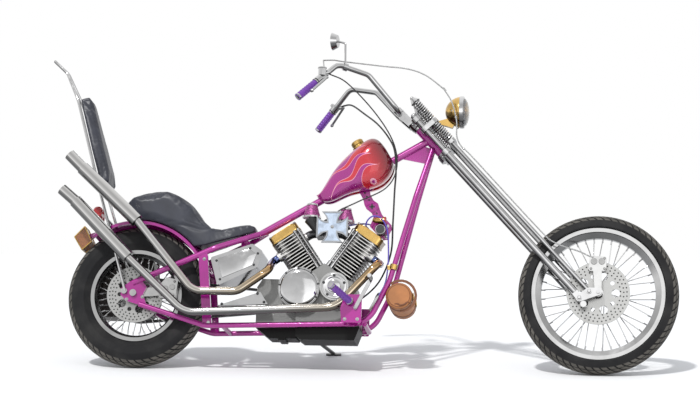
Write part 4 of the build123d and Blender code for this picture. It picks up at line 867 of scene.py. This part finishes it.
# Dark discs on both faces, and a dark cross, stand in for the bracket's holes: painted shade.
for x, z in ((1062, 849), (1072, 832), (1083, 815), (1121, 751)):
    for side in (-1, 1):
        holes.rod((x, side * 4.0, z), (x, side * 4.4, z), 4.2)
for size in ((26, 0.8, 9), (9, 0.8, 26)):
    holes.block((1098, -4, 783), size)
holes.done("bracket_hole_shade", "black_steel")
bolts.bolts(((1042, 884), (1062, 893), (1170, 640), (1172, 690)), 4.2, 7, 6)
coil = Shape()
for y_from, y_to, y_ring in ((-COIL_END, -4, -COIL_END), (4, COIL_END, COIL_END)):
    bolts.ring((COIL_X, y_ring, COIL_Z), AXIS_Y, 22, 2.2, 32, 8)
    coil.rod((COIL_X, y_from, COIL_Z), (COIL_X, y_to, COIL_Z), 22)
bolts.done("bracket_bolts", "chrome")
coil.done("ignition_coil", "black_steel")
bullet_rear, bullet_front = Vector((1104, -38, 711)), Vector((1168, -38, 708))
bullet_dir = (bullet_front - bullet_rear).normalized()
bullet = Shape()
shell = [(0, 0), (7, 2), (12, 10), (15.5, 26), (17, 56), (17, 60)]
bullet.turned(bullet_rear, bullet_dir, shell, 32)
bullet.rod((1142, -4, 706), (1142, -26, 706), 6)
bullet.done("bullet_shell", "gold_paint", stands_for=["bullet_lamp"])
bullet = Shape()
bullet.turned(bullet_rear, bullet_dir, [(17.2, 56), (19, 57), (19, 64), (15, 66), (15, 62)], 32)
bullet.turned(bullet_rear, bullet_dir, [(15, 62), (10, 66), (0, 68)], 32)
bullet.done("bullet_glass", "red_lens")
loop = curve_points([
    (1084, -6, 676), (1076, -48, 682), (1086, -64, 706), (1112, -66, 724), (1150, -66, 712),
    (1178, -64, 660), (1186, -62, 573), (1187, -74, 487), (1178, -92, 401), (1150, -100, 340),
])
Shape().tube(loop, 3.5).done("coil_lead", "violet_lead")

# Tank cap's collar and top, the down tube's clamp, the exhaust hangers and frame bolts
cap_foot = TANK_ORIGIN + 290 * TANK_DIR + 128 * TANK_UP
cap = Shape()
cap.turned(cap_foot, TANK_UP, [(28.6, 8), (34, 9), (34, 14), (29, 16)], 36)
cap.turned(cap_foot, TANK_UP, [(27.3, 22), (30, 24), (30, 38), (26, 43), (12, 46), (0, 46.5)], 36)
cap.done("cap_rim", "gold_paint")
clamp = Shape()
down_tube = (Vector((1309, 0, 822)) - Vector((1200, 0, 405))).normalized()
clamp.turned((1214, -114, 460), down_tube, [(13, 0), (18, 1), (18, 25), (13, 26)], 28)
clamp.block((1196, -114, 470), (16, 14, 22), 2)
clamp.done("tube_clamp", "gold_paint")
hangers = Shape()
for x, y, z in ((-118, -118, 604), (-199, -99, 860)):
    hangers.rod((x, y, z), (x, -150, z), 7)
    hangers.block((x, -147, z), (34, 5, 24), 2)
hangers.bolts(((-30, 306), (44, 318), (22, 392), (-46, 352)), 114.3, 6, 5)
hangers.bolts(((362, 200), (330, 500), (345, 356)), 122.2, 6, 5)
hangers.done("frame_bolts", "chrome")

# Battery box: a raised panel, which is the outline drawn in, and its screws
BOX_X, BOX_Z = 503, 487
BOX = ((372, 500), (552, 562), (596, 530), (574, 462), (404, 384))
panel = [(BOX_X + (x - BOX_X) * 0.82, BOX_Z + (z - BOX_Z) * 0.78) for x, z in BOX]
Shape().slab(panel, -145, -149.5, 2.5).done("box_panel", "chrome")
screws = Shape()
screws.bolts(((392, 488), (548, 549), (585, 524), (568, 470), (412, 400)), 146, 4.5, 4, ON_RIGHT)
screws.done("box_screws", "black_steel")

# Tool bag: bands with their buckles, end seams, hooks to the tubes and the loose curled strap
BAG = Vector((1247, 0, 333))
STRAP_Y = 86
BUCKLE_AT = radians(6)
straps, buckles, seams = Shape(), Shape(), Shape()
for y in (-STRAP_Y, STRAP_Y):
    band = [(60.2, 0), (62.4, 0.6), (62.4, 25.4), (60.2, 26)]
    straps.turned(BAG + AXIS_Y * (y - 13), AXIS_Y, band, 56)
    centre = BAG + AXIS_Y * y + polar(BUCKLE_AT) * 64
    round_bag = polar(BUCKLE_AT).cross(AXIS_Y)
    buckles.buckle(centre, -14 * round_bag, 17 * AXIS_Y, 2.2)
    buckles.rod(centre, centre + 15 * round_bag, 1.6)
for side in (-1, 1):
    seams.ring(BAG + AXIS_Y * side * 149, AXIS_Y, 51.5, 2.0, 56, 8)
    seams.ring(BAG + AXIS_Y * side * 138, AXIS_Y, 60.0, 1.4, 56, 8)
for side in (-1, 1):
    y = side * STRAP_Y
    hook = [(1194, y - 13, 350), (1194, y + 13, 350), (1184, side * 112, 372), (1184, side * 98, 372)]
    straps.flat(hook, (3, 0, 3), 0.5)
curl = []
for step in range(15):
    outward = polar(radians(125 - 15 * step))
    inner = BAG - AXIS_Y * 131 + outward * (63 + 9 * sin(pi * step / 14))
    curl.append((inner, inner + outward * 12))
for near, far in zip(curl, curl[1:]):
    straps.flat([near[0], far[0], far[1], near[1]], AXIS_Y * 3)
loose_end = (
    (-44, -140, -46), (-8, -150, -38), (8, -152, -44), (26, -152, -40), (40, -150, -30), (52, -140, -34),
)
straps.tube(curve_points([BAG + Vector(p) for p in loose_end]), 3.2)
straps.done("bag_straps", "strap_leather", slot="tan_leather")
seams.done("bag_seams", "strap_leather", slot="tan_leather")
buckles.done("bag_buckles", "gold_paint")

# Saddlebag: flap, straps and buckles on its outer side
flap, straps, buckles = Shape(), Shape(), Shape()
flap.slab([(-247, 549), (42, 549), (52, 440), (36, 418), (-236, 418), (-249, 436)], 250, 259, 2)
for x in (-176, -26):
    straps.slab([(x - 13, 549), (x + 13, 549), (x + 13, 348), (x, 336), (x - 13, 348)], 257, 262, 1)
    buckles.buckle(Vector((x, 263, 404)), 19 * AXIS_X, 14 * AXIS_Z, 2.4)
flap.done("saddlebag_flap", "dark_leather")
straps.done("saddlebag_straps", "dark_leather")
buckles.done("saddlebag_buckles", "chrome")

# Lamps at the tail: four lobes on the tail lamp, a rim round the square marker
tail = Shape()
for side in (-1, 1):
    for z in (748, 714):
        tail.ball((-211, side * 25, z), 20, AXIS_X, 1.15)
tail.done("tail_lobes", "red_lens")
marker = Shape()
corners = [Vector((x, 0, z)) for x, z in ((-313, 616), (-267, 666), (-230, 595), (-274, 555))]
half_width = AXIS_Y * 41
for a, b in zip(corners, corners[1:] + corners[:1]):
    for side in (-1, 1):
        marker.rod(a + half_width * side, b + half_width * side, 3.2, sides=12)
    marker.rod(a - half_width, a + half_width, 3.2, sides=12)
marker.done("marker_rim", "gold_paint", slot="gold_paint")

# Calipers: pistons' bosses and bolts
FRONT_CALIPER = fork_point(178, 0, 101)
bosses = Shape()
for x in (-16, 20):
    bosses.rod(FRONT_CALIPER + Vector((x, -92, 8)), FRONT_CALIPER + Vector((x, -99, 8)), 15)
for x, z in ((-30, -26), (32, -26), (32, 22)):
    bosses.bolt(FRONT_CALIPER + Vector((x, -94, z)), RIGHT, 5, 5)
bosses.done("front_caliper_bosses", "cast_alloy", "steering")
bosses = Shape()
for x, z in ((148, 362), (180, 370)):
    bosses.rod((x, -94, z), (x, -101, z), 13)
bosses.bolts(((132, 332), (186, 332), (190, 396)), 96, 5, 5, ON_RIGHT)
bosses.done("rear_caliper_bosses", "cast_alloy")

# Spoke nipples round both rims
for hub, well, name, body in (
    (FRONT_HUB, 264.0, "front_nipples", "front_wheel_set"),
    (REAR_HUB, 187.0, "rear_nipples", "rear_wheel_set"),
):
    nipples = Shape()
    for side in (-1, 1):
        for index in range(20):
            out = polar(radians((index + 0.25 * side) * 18))
            low = hub + out * (well - 20) + AXIS_Y * side * 7
            nipples.rod(low, hub + out * (well - 1) + AXIS_Y * side * 6, 3.6, sides=8)
    nipples.done(name, "chrome", body)

# Chain: link plates set round the plain band
CHAIN_Y = 78
PITCH = 15.875
REAR_R, FRONT_R = 106.5, 48.5
FRONT_SPROCKET = Vector((630, 0, 336))
run = (FRONT_SPROCKET - REAR_HUB).length
spread = acos((REAR_R - FRONT_R) / run)
straight = run * sin(spread)
# Length, centre, radius, angle at the start, and whether the chain turns with the sprocket
SPANS = (
    (straight, REAR_HUB, REAR_R, spread, False),
    (FRONT_R * 2 * spread, FRONT_SPROCKET, FRONT_R, spread, True),
    (straight, FRONT_SPROCKET, FRONT_R, -spread, False),
    (REAR_R * 2 * (pi - spread), REAR_HUB, REAR_R, -spread, True),
)
total = sum(span[0] for span in SPANS)


def chain_point(s):
    """The place at a length s round the chain's loop, and the way the chain runs there."""
    for length, hub, radius, angle, turning in SPANS:
        if s < length:
            break
        s -= length
    if turning:
        angle -= s / radius
        s = 0
    way = Vector((sin(angle), 0, -cos(angle)))
    return hub + radius * polar(angle) + way * s, way


chain = Shape()
links = int(total / PITCH / 2) * 2
for index in range(links):
    place, way = chain_point(total * index / links)
    half_gap = 8.2 if index % 2 else 7.4
    for side in (-1, 1):
        plate_at = place + AXIS_Y * (CHAIN_Y + side * half_gap)
        chain.block(plate_at, (17.0, 1.6, 11.0), 0, way, AXIS_Y.cross(way))
chain.done("chain_links", "black_steel")


# ---- cables and hoses
def cable(name, look_name, line, radius):
    """A held cable from the handlebar to the frame; it bends where it passes the neck."""
    obj = Shape().tube(curve_points(line), radius).done(name, look_name, "chassis", ride=False)
    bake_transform(obj)


clutch_line = [
    (906, 287.7, 1351.8), (962, 215, 1338), (1040, 100, 1262), (1111, 12, 1190), (1166, -30, 1118),
    (1200, -42, 1050), (1210, -42, 950), (1206, -42, 850), (1202, -40, 700), (1190, 20, 560),
    (1130, 100, 440), (1040, 118, 358), (987, 120, 352),
]
throttle_line = [
    (906, -287.7, 1351.7), (985, -200, 1330), (1110, -90, 1215), (1196, -60, 1080), (1214, -58, 955),
    (1165, -60, 860), (1040, -80, 790), (945, -100, 735), (938, -100, 690),
]
cable("clutch_cable", "hose_rubber", clutch_line, 4.2)
cable("throttle_cable", "hose_rubber", throttle_line, 3.2)
hose_high = [
    (876, -232, 1440), (920, -190, 1452), (958, -150, 1456), (1136, -90, 1449), (1258, -84, 1436),
    (1349, -84, 1402), (1440, -86, 1330),
]
# From the lamp down, as forward of the steering axis, Y and along it
hose_low = [
    (205, -86, 1208), (190, -86, 1129), (146, -88, 1045), (96, -90, 985), (80, -96, 930),
    (84, -104, 860), (84, -108, 400), (96, -106, 300), (150, -98, 200), (176, -92, 140),
]
hose_line = curve_points(hose_high + [fork_point(*p) for p in hose_low])
Shape().tube(hose_line, 3.2).done("brake_hose", "silver_hose", "steering", slot="chrome")
hose_ends = Shape()
hose_ends.rod(hose_line[0], reservoir + Vector((10, 0, 8)), 3.2)
hose_ends.rod(hose_line[-1], FRONT_CALIPER + Vector((-10, -88, 30)), 5)
for index in (70, 92, 108):
    hose_ends.rod(hose_line[index], hose_line[index + 1], 5.5)
hose_ends.done("hose_ends", "chrome", "steering")


# ---- seat and backrest
CELL = 0.006
MOST_GROWTH = 0.009
FRAMES = 20


def settle(obj):
    """Applies the object's modifiers to its mesh."""
    graph = bpy.context.evaluated_depsgraph_get()
    mesh = bpy.data.meshes.new_from_object(obj.evaluated_get(graph))
    old = obj.data
    obj.modifiers.clear()
    obj.data = mesh
    bpy.data.meshes.remove(old)


def cushion(node, name, below):
    """A stuffed piece: the solid is remeshed, blown up as cloth, and held to a small growth."""
    mesh = frame["nodes"][node].data.copy()
    mesh.name = name
    obj = placed(name, mesh)
    remesh = obj.modifiers.new("remesh", "REMESH")
    remesh.mode = "VOXEL"
    remesh.voxel_size = CELL
    smooth = obj.modifiers.new("smooth", "SMOOTH")
    smooth.iterations = 14
    smooth.factor = 0.5
    settle(obj)
    base = [v.co.copy() for v in obj.data.vertices]
    held = obj.vertex_groups.new(name="held")
    down = -rotated(AXIS_Z)
    under = [v.index for v in obj.data.vertices if v.normal.dot(below) > 0.55 or v.normal.dot(down) > 0.8]
    held.add(under, 1.0, "REPLACE")
    cloth = obj.modifiers.new("cloth", "CLOTH")
    settings = cloth.settings
    settings.quality = 6
    settings.mass = 0.3
    settings.tension_stiffness = 30
    settings.compression_stiffness = 30
    settings.bending_stiffness = 2.0
    settings.use_pressure = True
    settings.uniform_pressure_force = 4.0
    settings.vertex_group_mass = "held"
    settings.effector_weights.gravity = 0.0
    cloth.collision_settings.use_collision = False
    for step in range(1, FRAMES + 1):
        scene.frame_set(step)
    settle(obj)
    for vertex, start in zip(obj.data.vertices, base):
        move = vertex.co - start
        if move.length > MOST_GROWTH:
            vertex.co = start + move * (MOST_GROWTH / move.length)
    scene.frame_set(1)
    for polygon in obj.data.polygons:
        polygon.use_smooth = True
    dress(obj, "vinyl")
    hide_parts(node)
    return obj


seat_pad = cushion("seat", "seat_cushion", rotated((0.2, 0, -1)))
back_pad = cushion("backrest", "backrest_cushion", rotated((-0.956, 0, -0.292)))
for pad in (seat_pad, back_pad):
    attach(pad, "chassis")

# ---- light, floor and camera
scene.view_settings.view_transform = "Standard"
world = bpy.data.worlds.new("surroundings")
scene.world = world
world.use_nodes = True
tree = world.node_tree
tree.nodes.clear()
output = tree.nodes.new("ShaderNodeOutputWorld")
switch = tree.nodes.new("ShaderNodeMixShader")
# A soft sky lights the machine; the camera and what mirrors or lets through see plain white
for slot, (colour, strength) in enumerate((((0.92, 0.95, 1.0), 0.66), ((1, 1, 1), 1.0)), 1):
    background = tree.nodes.new("ShaderNodeBackground")
    background.inputs["Color"].default_value = (*colour, 1)
    background.inputs["Strength"].default_value = strength
    tree.links.new(background.outputs[0], switch.inputs[slot])
rays = tree.nodes.new("ShaderNodeLightPath")
seen = rays.outputs["Is Camera Ray"]
for flag in ("Is Glossy Ray", "Is Transmission Ray"):
    either = tree.nodes.new("ShaderNodeMath")
    either.operation = "MAXIMUM"
    tree.links.new(seen, either.inputs[0])
    tree.links.new(rays.outputs[flag], either.inputs[1])
    seen = either.outputs[0]
tree.links.new(seen, switch.inputs["Fac"])
tree.links.new(switch.outputs[0], output.inputs["Surface"])

FLOOR_HALF = 6.0
FLOOR_Z = -0.001
floor_mesh = bpy.data.meshes.new("floor")
corners = [(a * FLOOR_HALF, b * FLOOR_HALF, FLOOR_Z) for a, b in ((-1, -1), (1, -1), (1, 1), (-1, 1))]
floor_mesh.from_pydata(corners, [], [(0, 1, 2, 3)])
floor = placed("floor", floor_mesh)
Look("floor").set(Base_Color=(0.92, 0.92, 0.92), Roughness=0.9)
dress(floor, "floor")


def lamp(name, kind, place, target, energy):
    """A lamp at a place, turned to its target."""
    light = bpy.data.lights.new(name, kind)
    light.energy = energy
    obj = placed(name, light)
    obj.location = place
    obj.rotation_euler = (Vector(target) - Vector(place)).to_track_quat("-Z", "Y").to_euler()
    return light


lamp("sun", "SUN", (-1.5, -4.0, 6.5), (0, 0, 0.4), 2.1).angle = radians(3)
lamp("front_fill", "AREA", (1.5, -5.5, 2.2), (0, 0, 0.6), 40).size = 4.0

# The camera that the photograph was matched with
EYE = Vector((2.0295, -9.6442, 1.3374)) + SHIFT
AIM = Vector((-0.1044, 0.993, -0.0557)).normalized()
ROLL = 0.0022
lens_data = bpy.data.cameras.new("camera")
lens_data.lens = 108.13
lens_data.sensor_width = 36.0
lens_data.clip_end = 100
camera = placed("camera", lens_data)
scene.camera = camera
side_way = AIM.cross(AXIS_Z).normalized()
up_way = side_way.cross(AIM)
side_way, up_way = (
    side_way * cos(ROLL) + up_way * sin(ROLL),
    up_way * cos(ROLL) - side_way * sin(ROLL),
)
rows = [(side_way[i], up_way[i], -AIM[i], EYE[i]) for i in range(3)]
camera.matrix_world = Matrix((*rows, (0, 0, 0, 1)))
